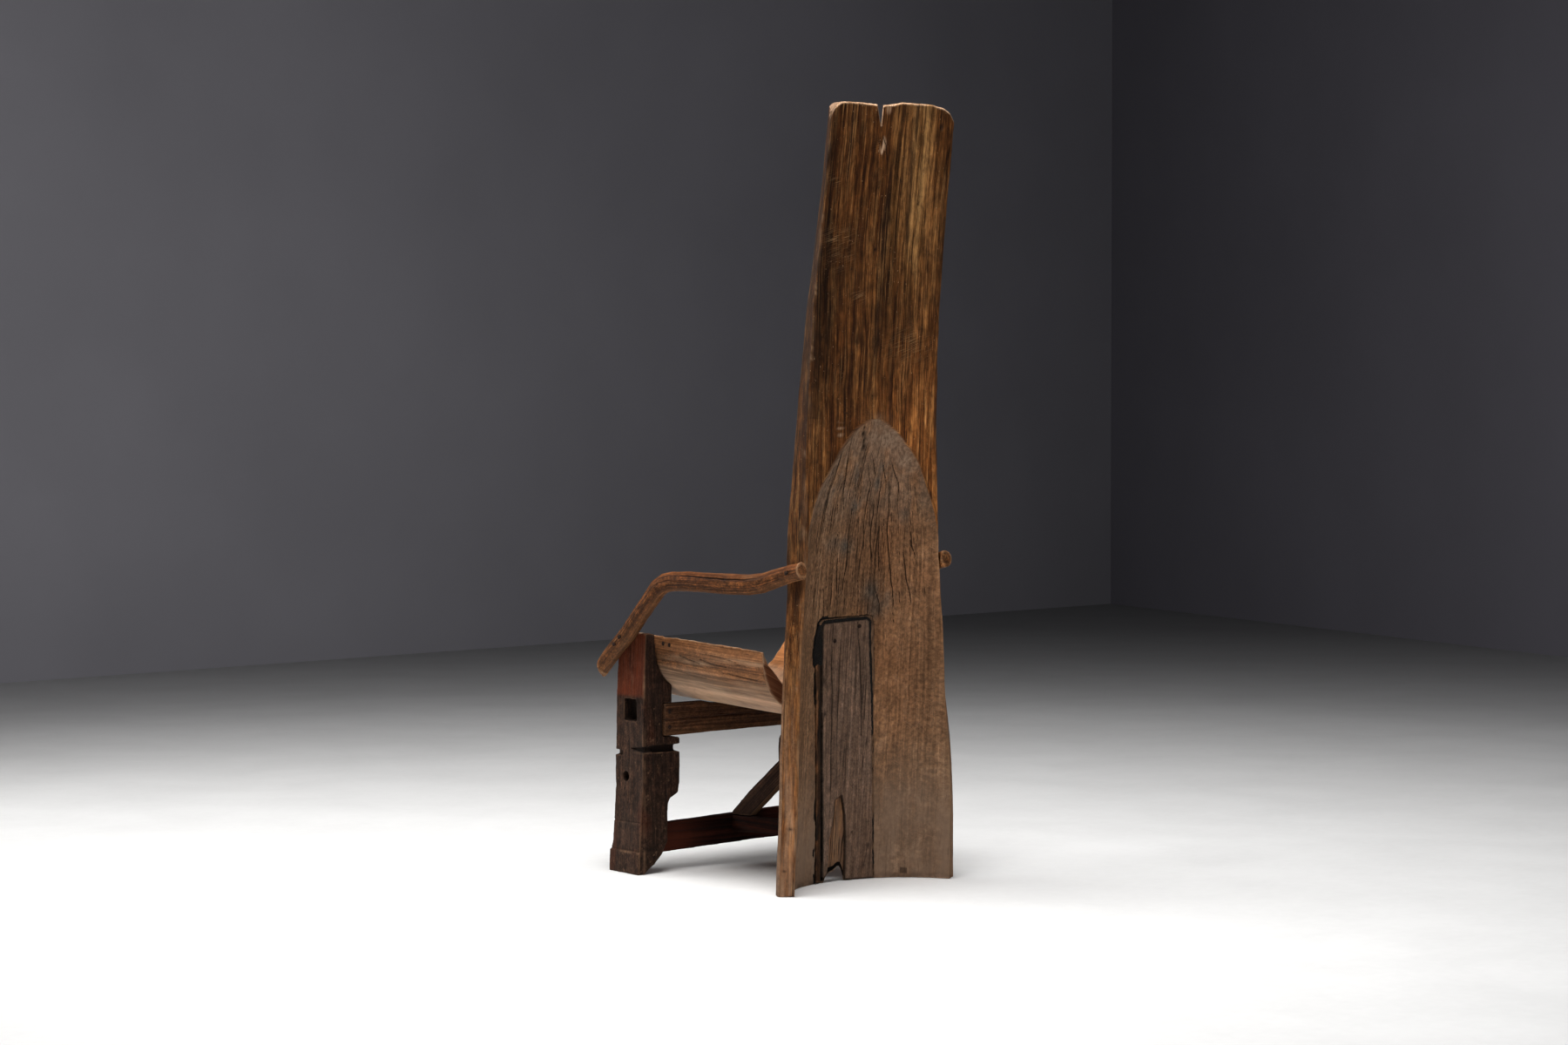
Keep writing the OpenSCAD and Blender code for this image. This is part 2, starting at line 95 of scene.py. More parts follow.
def worley(p, scale, seed=0):
    """Distance to the nearest and the second nearest scattered point, and that point's number."""
    q = np.asarray(p, float) * np.asarray(scale, float)
    i = np.floor(q)
    d1 = np.full(len(q), 9.0)
    d2 = np.full(len(q), 9.0)
    cid = np.zeros(len(q))
    for dx in (-1, 0, 1):
        for dy in (-1, 0, 1):
            for dz in (-1, 0, 1):
                c = i + (dx, dy, dz)
                ax = _h(c[:, 0], c[:, 1], c[:, 2], seed)
                ay = _h(c[:, 0], c[:, 1], c[:, 2], seed + 7)
                az = _h(c[:, 0], c[:, 1], c[:, 2], seed + 13)
                d = np.sqrt((c[:, 0] + ax - q[:, 0]) ** 2 + (c[:, 1] + ay - q[:, 1]) ** 2
                            + (c[:, 2] + az - q[:, 2]) ** 2)
                near = d < d1
                d2 = np.where(near, d1, np.minimum(d2, d))
                cid = np.where(near, _h(c[:, 0], c[:, 1], c[:, 2], seed + 19), cid)
                d1 = np.where(near, d, d1)
    return d1, d2, cid


def sstep(a, b, x):
    t = np.clip((x - a) / (b - a), 0, 1)
    return t * t * (3 - 2 * t)


def bumpf(x, c, w):
    """A soft hump of half width w round c."""
    return np.exp(-((x - c) / w) ** 2)


# ------------------------------------------------------------- mesh helpers
def make(name, verts, faces, nodes, mat, attrs, smooth=True):
    me = bpy.data.meshes.new(name)
    me.from_pydata(np.asarray(verts, float).tolist(), [], [list(map(int, f)) for f in faces])
    me.validate()
    ob = bpy.data.objects.new(name, me)
    bpy.context.scene.collection.objects.link(ob)
    finish_piece(ob, nodes, mat, attrs, smooth)
    return ob


def finish_piece(ob, nodes, mat, attrs, smooth=True):
    me = ob.data
    for k, a in attrs.items():
        a = np.asarray(a, np.float32)
        kind = "FLOAT_VECTOR" if a.ndim == 2 else "FLOAT"
        at = me.attributes.get(k) or me.attributes.new(k, kind, "POINT")
        at.data.foreach_set("vector" if a.ndim == 2 else "value", a.ravel())
    me.materials.clear()
    me.materials.append(mat)
    me.polygons.foreach_set("use_smooth", [smooth] * len(me.polygons))
    me.update()
    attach(ob, "root")
    if nodes:
        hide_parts(*nodes)


def remeshed(node, name, voxel, smooth=3, factor=0.5, post=0):
    """A finely and evenly meshed copy of a CAD node, its edges a little worn."""
    src = NODES[node]
    tmp = bpy.data.objects.new(name + "_src", src.data.copy())
    bpy.context.scene.collection.objects.link(tmp)
    m = tmp.modifiers.new("w", "WELD")
    m.merge_threshold = 0.00002
    m = tmp.modifiers.new("r", "REMESH")
    m.mode = "VOXEL"
    m.voxel_size = voxel
    m.adaptivity = 0.0
    bpy.context.view_layer.update()
    dg = bpy.context.evaluated_depsgraph_get()
    me = bpy.data.meshes.new_from_object(tmp.evaluated_get(dg))
    bpy.data.objects.remove(tmp)
    me.name = name
    ob = bpy.data.objects.new(name, me)
    bpy.context.scene.collection.objects.link(ob)
    ob["fine_voxel"] = voxel
    # plain Laplacian smoothing in numpy, with the convexity kept for later
    n = len(me.vertices)
    co = np.empty(n * 3)
    me.vertices.foreach_get("co", co)
    co = co.reshape(-1, 3)
    ed = np.empty(len(me.edges) * 2, np.int64)
    me.edges.foreach_get("vertices", ed)
    ed = ed.reshape(-1, 2)
    deg = np.bincount(ed.ravel(), minlength=n).astype(float)
    deg[deg == 0] = 1

    def lap(a):
        out = np.empty_like(a)
        for k in range(a.shape[1]):
            out[:, k] = (np.bincount(ed[:, 0], a[ed[:, 1], k], n) + np.bincount(ed[:, 1], a[ed[:, 0], k], n)) / deg
        return out

    p = co.copy()
    for _ in range(smooth):
        p += factor * (lap(p) - p)
    q = p.copy()
    for _ in range(9):
        q += 0.6 * (lap(q) - q)
    me.vertices.foreach_set("co", p.ravel())
    me.update()
    nr = np.empty(n * 3)
    me.vertices.foreach_get("normal", nr)
    nr = nr.reshape(-1, 3)
    conv = ((p - q) * nr).sum(1) / voxel
    return ob, p, nr, conv, lap


LO, HI = np.array(CAD_BOX[0]), np.array(CAD_BOX[1])


def setco(ob, p):
    p = np.clip(p, LO, HI)
    ob.data.vertices.foreach_set("co", np.asarray(p, np.float64).ravel())
    ob.data.update()


def polyline_d(x, z, pts):
    """Distance in the x z plane to a polyline, and how far along it (0..1)."""
    best = np.full(len(x), 9.0)
    along = np.zeros(len(x))
    n = len(pts) - 1
    for i in range(n):
        (ax, az), (bx, bz) = pts[i], pts[i + 1]
        dx, dz = bx - ax, bz - az
        t = np.clip(((x - ax) * dx + (z - az) * dz) / (dx * dx + dz * dz + 1e-12), 0, 1)
        d = np.hypot(x - ax - t * dx, z - az - t * dz)
        m = d < best
        best = np.where(m, d, best)
        along = np.where(m, (i + t) / n, along)
    return best, along


def in_poly(x, z, poly):
    inside = np.zeros(len(x), bool)
    n = len(poly)
    for i in range(n):
        (x1, z1), (x2, z2) = poly[i], poly[(i + 1) % n]
        c = ((z1 > z) != (z2 > z)) & (x < (x2 - x1) * (z - z1) / (z2 - z1 + 1e-12) + x1)
        inside ^= c
    return inside


def poly_d(x, z, poly):
    """Signed distance to a polygon's edge, positive outside."""
    d, _ = polyline_d(x, z, list(poly) + [poly[0]])
    return np.where(in_poly(x, z, poly), -d, d)


# ---------------------------------------------------------------- materials
class M:
    """A short way to write node trees."""

    def __init__(self, name):
        self.m = bpy.data.materials.new(name)
        self.m.use_nodes = True
        self.t = self.m.node_tree
        self.t.nodes.clear()
        self.out = self.t.nodes.new("ShaderNodeOutputMaterial")
        self.b = self.t.nodes.new("ShaderNodeBsdfPrincipled")
        self.t.links.new(self.b.outputs[0], self.out.inputs[0])

    def put(self, sock, v):
        if v is None:
            return
        if isinstance(v, bpy.types.NodeSocket):
            self.t.links.new(v, sock)
        elif isinstance(v, (tuple, list)):
            sock.default_value = (*v, 1.0) if len(v) == 3 and len(sock.default_value) == 4 else v
        else:
            sock.default_value = v

    def attr(self, name, vec=False):
        n = self.t.nodes.new("ShaderNodeAttribute")
        n.attribute_name = name
        return n.outputs["Vector" if vec else "Fac"]

    def obj(self):
        return self.t.nodes.new("ShaderNodeTexCoord").outputs["Object"]

    def scale(self, v, s, off=(0, 0, 0)):
        n = self.t.nodes.new("ShaderNodeMapping")
        self.put(n.inputs["Vector"], v)
        n.inputs["Scale"].default_value = s
        n.inputs["Location"].default_value = off
        return n.outputs[0]

    def noise(self, v, s=(1, 1, 1), detail=3.0, rough=0.5, dist=0.0, off=(0, 0, 0)):
        n = self.t.nodes.new("ShaderNodeTexNoise")
        self.put(n.inputs["Vector"], self.scale(v, s, off))
        n.inputs["Scale"].default_value = 1.0
        n.inputs["Detail"].default_value = detail
        n.inputs["Roughness"].default_value = rough
        n.inputs["Distortion"].default_value = dist
        return n.outputs["Fac"]

    def voro(self, v, s=(1, 1, 1), feature="F1", out="Distance", rand=1.0, off=(0, 0, 0)):
        n = self.t.nodes.new("ShaderNodeTexVoronoi")
        n.feature = feature
        self.put(n.inputs["Vector"], self.scale(v, s, off))
        n.inputs["Scale"].default_value = 1.0
        n.inputs["Randomness"].default_value = rand
        return n.outputs[out]

    def math(self, op, a, b=None, clamp=False):
        n = self.t.nodes.new("ShaderNodeMath")
        n.operation = op
        n.use_clamp = clamp
        self.put(n.inputs[0], a)
        if b is not None:
            self.put(n.inputs[1], b)
        return n.outputs[0]

    def add(self, *a):
        s = a[0]
        for k in a[1:]:
            s = self.math("ADD", s, k)
        return s

    def mul(self, a, b):
        return self.math("MULTIPLY", a, b)

    def rng(self, v, a, b, c=0.0, d=1.0, smooth=False):
        n = self.t.nodes.new("ShaderNodeMapRange")
        n.clamp = True
        if smooth:
            n.interpolation_type = "SMOOTHSTEP"
        self.put(n.inputs["Value"], v)
        for k, x in (("From Min", a), ("From Max", b), ("To Min", c), ("To Max", d)):
            n.inputs[k].default_value = x
        return n.outputs[0]

    def ramp(self, v, stops, interp="LINEAR"):
        n = self.t.nodes.new("ShaderNodeValToRGB")
        n.color_ramp.interpolation = interp
        el = n.color_ramp.elements
        while len(el) < len(stops):
            el.new(0.5)
        for e, (p, c) in zip(el, stops):
            e.position = p
            e.color = (*c, 1.0)
        self.put(n.inputs[0], v)
        return n.outputs[0]

    def mix(self, f, a, b, mode="MIX"):
        n = self.t.nodes.new("ShaderNodeMix")
        n.data_type = "RGBA"
        n.blend_type = mode
        self.put(n.inputs[0], f)
        for s, v in ((n.inputs[6], a), (n.inputs[7], b)):
            self.put(s, v)
        return n.outputs[2]

    def mixf(self, f, a, b):
        n = self.t.nodes.new("ShaderNodeMix")
        n.data_type = "FLOAT"
        self.put(n.inputs[0], f)
        self.put(n.inputs[2], a)
        self.put(n.inputs[3], b)
        return n.outputs[0]

    def bump(self, h, strength, dist, normal=None):
        n = self.t.nodes.new("ShaderNodeBump")
        n.inputs["Strength"].default_value = strength
        n.inputs["Distance"].default_value = dist
        self.put(n.inputs["Height"], h)
        if normal is not None:
            self.put(n.inputs["Normal"], normal)
        return n.outputs[0]


def wood(name, dark, mid, light, wear_and_highlight, dirt_and_shade=(0.012, 0.008, 0.006), tints=(), streak=1.0, fine=1.0,
         crack=0.6, crack_scale=(34, 34, 1.5), rough=(0.62, 0.86), bump=1.0, wear_amt=0.8, specks=0.25, seed=0.0,
         spec=0.09, hue=0.5, fib=1.0, mottle=0.0, tc=0.25):
    """Aged wood. 'gc' holds each point's grain coordinates (the third along the grain); 'edge' says where it is pale
    with wear and, in places, painted highlight; 'cav' where it is darkened by dirt and, in creases, kerfs and broken
    edges, by painted shade; 'crk' where it is cracked; tints are (mask attribute, colour, strength, noise scale)."""
    m = M(name)
    v = m.attr("gc", True)
    o = (seed, seed * 1.7, seed * 0.3)
    warp = m.noise(v, (9, 9, 1.2), 2, off=o)
    n1 = m.noise(v, (11, 11, 1.3), 3, 0.55, 0.3, o)
    n2 = m.noise(v, (75, 75, 1.5), 3, 0.6, 0.2, o)
    n3 = m.noise(v, (330, 330, 3.2), 2, 0.6, 0.1, o)
    n4 = m.noise(v, (1300, 1300, 30), 2, 0.6, 0.0, o)
    g = m.add(m.mul(n1, 0.30), m.mul(n2, 0.42 * streak), m.mul(n3, 0.34 * fine), m.mul(n4, 0.14 * fine))
    tot = 0.30 + 0.42 * streak + 0.34 * fine + 0.14 * fine
    lo, hi = 0.5 * tot - 0.105, 0.5 * tot + 0.115
    g = m.rng(g, lo, hi)
    col = m.ramp(g, [(0.0, dark), (0.5, mid), (1.0, light)])
    # fine fibres, lighter and darker than their neighbours
    n5 = m.noise(v, (240, 240, 1.4), 2, 0.6, 0.05, (o[0] + 6, 4, 4))
    a, b = 1 - 0.42 * fib, 1 + 0.42 * fib
    col = m.mix(1.0, col, m.ramp(n5, [(0.34, (a, a * 0.97, a * 0.94)), (0.50, (1.0, 1.0, 1.0)), (0.66, (b, b * 0.97, b * 0.94))]),
                "MULTIPLY")
    if mottle:
        # rough blotches of dirt and bare wood, with no direction
        mo = m.noise(v, (85, 85, 60), 4, 0.65, 0.3, (o[0] + 7, 2, 9))
        a, b = 1 - 0.5 * mottle, 1 + 0.7 * mottle
        col = m.mix(1.0, col, m.ramp(mo, [(0.36, (a, a, a)), (0.52, (1.0, 1.0, 1.0)), (0.68, (b, b * 0.95, b * 0.9))]), "MULTIPLY")
        mf = m.noise(v, (330, 330, 210), 4, 0.7, 0.2, (o[0] + 8, 1, 3))
        a, b = 1 - 0.42 * mottle, 1 + 0.55 * mottle
        col = m.mix(1.0, col, m.ramp(mf, [(0.36, (a, a, a)), (0.50, (1.0, 1.0, 1.0)), (0.64, (b, b, b))]), "MULTIPLY")
    # slow drift of the hue between redder and yellower wood
    hv = m.noise(v, (6, 6, 2.2), 2, off=(o[0] + 4, 1, 2))
    col = m.mix(m.rng(hv, 0.38, 0.66, 0.0, hue), col,
                m.mix(1.0, col, (1.10, 0.93, 0.80), "MULTIPLY"))
    # dark pores and flecks along the grain
    fl = m.noise(v, (520, 520, 22), 2, 0.5, 0.0, (o[0] + 9, 3, 1))
    flm = m.rng(fl, 0.60, 0.72, 0.0, specks)
    col = m.mix(flm, col, dirt_and_shade)
    # tinted areas
    for attr, c, s, sc in tints:
        a = m.attr(attr)
        nn = m.noise(v, (sc, sc, sc * 0.12), 3, 0.6, 0.2, (o[0] + 5, 7, 2))
        f = m.math("MULTIPLY", a, m.rng(nn, 0.30, 0.62, 0.45, 1.0), clamp=True)
        shade = m.mix(1.0, c, m.ramp(g, [(0.0, (0.97 - tc,) * 3), (0.5, (0.97, 0.97, 0.97)), (1.0, (0.97 + tc,) * 3)]),
                      "MULTIPLY")
        col = m.mix(m.mul(f, s), col, shade)
    # long wandering drying cracks
    ck = m.noise(v, crack_scale, 2, 0.5, 0.15, (o[0] + 2, 5, 6))
    line = m.rng(m.math("ABSOLUTE", m.math("SUBTRACT", ck, 0.5)), 0.0, 0.0085, 1.0, 0.0)
    gate = m.rng(m.noise(v, (12, 12, 3.0), 2, off=(o[0] + 1, 9, 4)), 0.50, 0.60)
    cr = m.mul(m.mul(line, gate), crack)
    crk = m.math("MAXIMUM", cr, m.attr("crk"))
    # worn places with some painted highlights ('edge'), and dirt with painted shade in creases ('cav')
    en = m.noise(v, (60, 60, 12), 3, 0.6, 0.0, (o[0] + 3, 2, 8))
    e = m.mul(m.attr("edge"), m.rng(en, 0.34, 0.60))
    col = m.mix(m.mul(e, wear_amt), col, wear_and_highlight)
    col = m.mix(m.mul(m.attr("cav"), 0.75), col, dirt_and_shade)
    col = m.mix(m.mul(crk, 0.93), col, dirt_and_shade)
    m.put(m.b.inputs["Base Color"], col)
    r = m.rng(m.add(m.mul(n3, 0.6), m.mul(n1, 0.4)), 0.35, 0.65, rough[0], rough[1])
    m.put(m.b.inputs["Roughness"], r)
    m.b.inputs["Specular IOR Level"].default_value = spec
    h = m.add(m.mul(n2, 0.55), m.mul(n3, 0.55), m.mul(n4, 0.16), m.mul(fl, -0.12))
    nrm = m.bump(h, 0.55 * bump, 0.0016)
    nrm = m.bump(m.mul(crk, -1.0), 0.9, 0.0022, nrm)
    m.put(m.b.inputs["Normal"], nrm)
    return m.m


def plank_material():
    m = M("plank_wood")
    v = m.attr("gc", True)
    hol = m.attr("hol")
    # ---- rear face, sides and front: warm dark brown, polished by hands
    n1 = m.noise(v, (10, 10, 1.1), 3, 0.55, 0.35)
    n2 = m.noise(v, (85, 85, 5.5), 5, 0.68, 0.15)
    n3 = m.noise(v, (360, 360, 14.0), 3, 0.65, 0.1)
    n4 = m.noise(v, (1400, 1400, 36), 2, 0.6)
    g = m.rng(m.add(m.mul(n1, 0.34), m.mul(n2, 0.40), m.mul(n3, 0.36), m.mul(n4, 0.12)), 0.520, 0.700)
    warm = m.ramp(g, [(0.0, (0.017, 0.0054, 0.0015)), (0.42, (0.064, 0.0200, 0.0044)),
                      (0.72, (0.112, 0.040, 0.0098)), (1.0, (0.210, 0.085, 0.024))])
    yel = m.ramp(g, [(0.0, (0.026, 0.0118, 0.0028)), (0.5, (0.104, 0.045, 0.0120)), (1.0, (0.280, 0.150, 0.054))])
    oran = m.ramp(g, [(0.0, (0.040, 0.0115, 0.0025)), (0.5, (0.132, 0.043, 0.0098)), (1.0, (0.265, 0.102, 0.027))])
    hv = m.noise(v, (13, 13, 1.1), 3, 0.6, 0.3, (3, 1, 2))
    ym = m.math("MULTIPLY", m.attr("olive"), m.rng(hv, 0.30, 0.62, 0.25, 1.0), clamp=True)
    rear = m.mix(ym, warm, yel)
    om = m.math("MULTIPLY", m.attr("orange"), m.rng(hv, 0.25, 0.60, 0.4, 1.0), clamp=True)
    rear = m.mix(om, rear, oran)
    dk = m.noise(v, (26, 26, 1.7), 3, 0.6, 0.3, (7, 3, 5))
    rear = m.mix(m.rng(dk, 0.55, 0.66, 0.0, 0.70), rear, (0.017, 0.0080, 0.0040))
    # fine golden and dark fibres; the golden streaks are partly painted satin sheen
    gl = m.noise(v, (300, 300, 7.5), 4, 0.68, 0.06, (8, 2, 6))
    gg = m.noise(v, (24, 24, 5.0), 2, 0.6, 0.2, (1, 2, 7))
    rear = m.mix(m.mul(m.rng(gl, 0.53, 0.65, 0.0, 0.78), m.rng(gg, 0.36, 0.58)), rear, (0.280, 0.138, 0.048))
    rear = m.mix(m.rng(gl, 0.47, 0.355, 0.0, 0.80), rear, (0.013, 0.0048, 0.0018))
    mt = m.noise(v, (70, 70, 34), 5, 0.7, 0.4, (3, 7, 7))
    rear = m.mix(1.0, rear, m.ramp(mt, [(0.36, (0.58, 0.58, 0.58)), (0.50, (1.0, 1.0, 1.0)), (0.66, (1.56, 1.53, 1.48))]), "MULTIPLY")
    tone = m.attr("tone")
    rear = m.mix(1.0, rear, m.ramp(tone, [(0.0, (0.0, 0.0, 0.0)), (1.0, (2.0, 2.0, 2.0))]), "MULTIPLY")
    # shallow scratches across the grain, in a few places
    s1 = m.noise(m.scale(v, (1, 1, 1)), (38, 38, 950), 2, 0.5, 0.0, (4, 4, 1))
    sm = m.t.nodes.new("ShaderNodeMapping")
    sm.inputs["Rotation"].default_value = (0.0, math.radians(-17), 0.0)
    m.put(sm.inputs["Vector"], v)
    s2 = m.noise(sm.outputs[0], (26, 26, 820), 2, 0.5, 0.0, (1, 7, 3))
    scr = m.math("MULTIPLY", m.attr("scr"), m.rng(s2, 0.54, 0.64), clamp=True)
    rear = m.mix(m.mul(scr, 0.80), rear, (0.300, 0.175, 0.080))
    sp = m.noise(v, (330, 330, 170), 2, 0.5, 0.0, (6, 6, 2))
    rear = m.mix(m.rng(sp, 0.715, 0.78, 0.0, 0.75), rear, (0.420, 0.270, 0.150))
    # ---- the hollow: greyer, dry, weathered
    h1 = m.noise(v, (12, 12, 2.2), 3, 0.6, 0.4, (11, 2, 3))
    h2 = m.noise(v, (95, 95, 1.6), 3, 0.62, 0.12, (11, 2, 3))
    h3 = m.noise(v, (380, 380, 4), 2, 0.6, 0.1, (11, 2, 3))
    hx = m.noise(v, (55, 40, 38), 5, 0.65, 0.5, (6, 2, 3))
    gh = m.rng(m.add(m.mul(h1, 0.34), m.mul(h2, 0.18), m.mul(h3, 0.20), m.mul(n4, 0.14), m.mul(hx, 0.34)), 0.44, 0.76)
    grey = m.ramp(gh, [(0.0, (0.066, 0.038, 0.021)), (0.5, (0.132, 0.072, 0.038)), (1.0, (0.215, 0.132, 0.078))])
    redb = m.ramp(gh, [(0.0, (0.080, 0.036, 0.016)), (0.5, (0.152, 0.070, 0.031)), (1.0, (0.240, 0.120, 0.060))])
    cold = m.ramp(gh, [(0.0, (0.036, 0.030, 0.024)), (0.5, (0.072, 0.061, 0.049)), (1.0, (0.130, 0.110, 0.090))])
    w1 = m.noise(v, (7.5, 7.5, 4.2), 3, 0.6, 0.5, (2, 8, 1))
    hollow = m.mix(m.math("MULTIPLY", m.attr("warmh"), m.rng(w1, 0.3, 0.62, 0.3, 1.0), clamp=True), grey, redb)
    c1 = m.noise(v, (20, 20, 9), 3, 0.65, 0.6, (5, 5, 9))
    cm = m.math("MULTIPLY", m.attr("coldh"), m.rng(c1, 0.35, 0.53, 0.0, 1.0), clamp=True)
    hollow = m.mix(m.mul(cm, 0.85), hollow, cold)
    hf = m.noise(v, (230, 230, 2.2), 3, 0.6, 0.1, (3, 6, 2))
    hollow = m.mix(1.0, hollow, m.ramp(hf, [(0.36, (0.74, 0.73, 0.71)), (0.50, (1.0, 1.0, 1.0)), (0.64, (1.26, 1.25, 1.23))]),
                   "MULTIPLY")
    hm = m.noise(v, (170, 170, 120), 4, 0.68, 0.3, (2, 9, 2))
    hollow = m.mix(1.0, hollow, m.ramp(hm, [(0.37, (0.66, 0.66, 0.66)), (0.52, (1.0, 1.0, 1.0)), (0.68, (1.48, 1.46, 1.42))]),
                   "MULTIPLY")
    hollow = m.mix(1.0, hollow, m.ramp(tone, [(0.0, (0.0, 0.0, 0.0)), (1.0, (2.0, 2.0, 2.0))]), "MULTIPLY")
    for ang, off in ((38, (3, 5, 2)), (-52, (6, 1, 9))):
        sk = m.t.nodes.new("ShaderNodeMapping")
        sk.inputs["Rotation"].default_value = (0.0, math.radians(ang), 0.0)
        m.put(sk.inputs["Vector"], v)
        sc = m.noise(sk.outputs[0], (42, 42, 760), 2, 0.55, 0.1, off)
        sg = m.noise(v, (18, 18, 14), 2, 0.5, 0.0, off)
        hollow = m.mix(m.mul(m.rng(sc, 0.62, 0.72, 0.0, 0.55), m.rng(sg, 0.46, 0.60)), hollow, (0.270, 0.170, 0.108))
    pn = m.noise(v, (26, 26, 9), 3, 0.6, 0.3, (8, 8, 3))
    hollow = m.mix(m.mul(m.attr("pale"), m.rng(pn, 0.32, 0.60, 0.35, 1.0)), hollow, (0.215, 0.140, 0.094))
    col = m.mix(hol, rear, hollow)
    col = m.mix(m.attr("rimlight"), col, m.ramp(hm, [(0.35, (0.150, 0.092, 0.058)), (0.65, (0.340, 0.225, 0.150))]))
    # ---- flecks, cracks with a painted shadow line, wear, tar, chips
    fl = m.noise(v, (560, 560, 20), 2, 0.5, 0.0, (9, 3, 1))
    col = m.mix(m.rng(fl, 0.60, 0.72, 0.0, 0.30), col, (0.014, 0.008, 0.005))
    ck = m.noise(v, (30, 30, 1.1), 2, 0.5, 0.12, (2, 5, 6))
    line = m.rng(m.math("ABSOLUTE", m.math("SUBTRACT", ck, 0.5)), 0.0, 0.0065, 1.0, 0.0)
    gate = m.rng(m.noise(v, (14, 14, 3.6), 2, off=(1, 9, 4)), 0.54, 0.60)
    crk = m.math("MAXIMUM", m.mul(m.mul(m.mul(line, gate), 0.45), m.mixf(hol, 1.0, 0.0)), m.rng(m.attr("crk"), 0.30, 0.72))
    # drying cracks that follow the fibres of the hollow, where 'fan' allows them
    w1c = m.noise(v, (44, 9, 0.8), 1, 0.4, 0.0, (3, 3, 8))
    l1 = m.rng(m.math("ABSOLUTE", m.math("SUBTRACT", w1c, 0.5)), 0.003, 0.013, 1.0, 0.0)
    g1 = m.rng(m.noise(v, (30, 9, 5.0), 2, 0.5, 0.0, (7, 1, 4)), 0.47, 0.53)
    w2c = m.noise(v, (96, 9, 1.8), 1, 0.4, 0.0, (5, 8, 1))
    l2 = m.rng(m.math("ABSOLUTE", m.math("SUBTRACT", w2c, 0.5)), 0.003, 0.014, 1.0, 0.0)
    g2 = m.rng(m.noise(v, (60, 9, 13), 2, 0.5, 0.0, (2, 6, 4)), 0.52, 0.60)
    fan = m.attr("fan")
    crk = m.math("MAXIMUM", crk, m.mul(m.math("MAXIMUM", m.mul(l1, g1), m.mul(m.mul(l2, g2), 0.7)), fan))
    en = m.noise(v, (70, 70, 14), 3, 0.6, 0.0, (3, 2, 8))
    e = m.mul(m.attr("edge"), m.rng(en, 0.36, 0.60))
    col = m.mix(m.mul(e, 0.45), col, (0.270, 0.165, 0.092))
    # chip: pale chipped wood, and along the top end a painted highlight
    col = m.mix(m.attr("chip"), col, m.ramp(n3, [(0.35, (0.24, 0.125, 0.058)), (0.65, (0.60, 0.40, 0.26))]))
    col = m.mix(m.mul(m.attr("cav"), 0.92), col, (0.008, 0.0042, 0.0026))
    tn = m.noise(v, (150, 150, 60), 4, 0.7, 0.4, (4, 4, 4))
    tar = m.rng(m.add(m.attr("tar"), m.mul(m.math("SUBTRACT", tn, 0.5), 0.9)), 0.42, 0.56, smooth=True)
    tar = m.mul(tar, m.rng(m.attr("tar"), 0.02, 0.12))
    col = m.mix(tar, col, (0.0035, 0.0029, 0.0024))
    col = m.mix(m.mul(crk, 0.97), col, (0.0060, 0.0036, 0.0022))
    m.put(m.b.inputs["Base Color"], col)
    rr = m.rng(m.add(m.mul(n3, 0.5), m.mul(n1, 0.5)), 0.38, 0.64, 0.46, 0.74)
    rh = m.rng(h3, 0.3, 0.7, 0.74, 0.92)
    m.put(m.b.inputs["Roughness"], m.mixf(m.math("MAXIMUM", hol, m.attr("chip")), rr, rh))
    m.b.inputs["Specular IOR Level"].default_value = 0.10
    hgt = m.add(m.mul(n2, 0.5), m.mul(n3, 0.55), m.mul(n4, 0.15))
    hh = m.add(m.mul(h1, 0.6), m.mul(h2, 0.9), m.mul(h3, 0.75), m.mul(n4, 0.25))
    nrm = m.bump(m.mixf(hol, hgt, hh), 0.60, 0.0016)
    nrm = m.bump(m.mul(crk, -1.0), 0.9, 0.0025, nrm)
    m.put(m.b.inputs["Normal"], nrm)
    return m.m


def tar_material():
    m = M("pitch")
    v = m.attr("gc", True)
    a = m.noise(v, (140, 140, 60), 4, 0.65, 0.3)
    b = m.noise(v, (700, 700, 420), 3, 0.6)
    col = m.ramp(m.add(m.mul(a, 0.6), m.mul(b, 0.4)), [(0.30, (0.0014, 0.0012, 0.0010)), (0.56, (0.0045, 0.0036, 0.0030)),
                                                        (0.68, (0.042, 0.026, 0.016))])
    m.b.inputs["Specular IOR Level"].default_value = 0.14
    br = m.noise(v, (240, 240, 40), 3, 0.6, 0.0, (2, 2, 2))
    bare = m.rng(m.add(m.attr("bare"), m.mul(m.math("SUBTRACT", br, 0.5), 1.2)), 0.40, 0.60)
    col = m.mix(bare, col, m.ramp(br, [(0.35, (0.050, 0.026, 0.013)), (0.65, (0.150, 0.082, 0.044))]))
    m.put(m.b.inputs["Base Color"], col)
    m.put(m.b.inputs["Roughness"], m.rng(a, 0.3, 0.7, 0.42, 0.85))
    m.put(m.b.inputs["Normal"], m.bump(m.add(a, m.mul(b, 0.35)), 0.8, 0.003))
    return m.m


def iron_material():
    m = M("old_iron")
    v = m.obj()
    a = m.noise(v, (300, 300, 300), 4, 0.6)
    b = m.noise(v, (1200, 1200, 1200), 3, 0.6)
    col = m.ramp(a, [(0.32, (0.008, 0.0052, 0.0040)), (0.55, (0.022, 0.0120, 0.0080)), (0.75, (0.070, 0.028, 0.014))])
    m.put(m.b.inputs["Base Color"], col)
    m.b.inputs["Metallic"].default_value = 0.15
    m.b.inputs["Specular IOR Level"].default_value = 0.15
    m.put(m.b.inputs["Roughness"], m.rng(a, 0.3, 0.7, 0.70, 0.95))
    m.put(m.b.inputs["Normal"], m.bump(m.add(a, m.mul(b, 0.5)), 0.7, 0.0008))
    return m.m


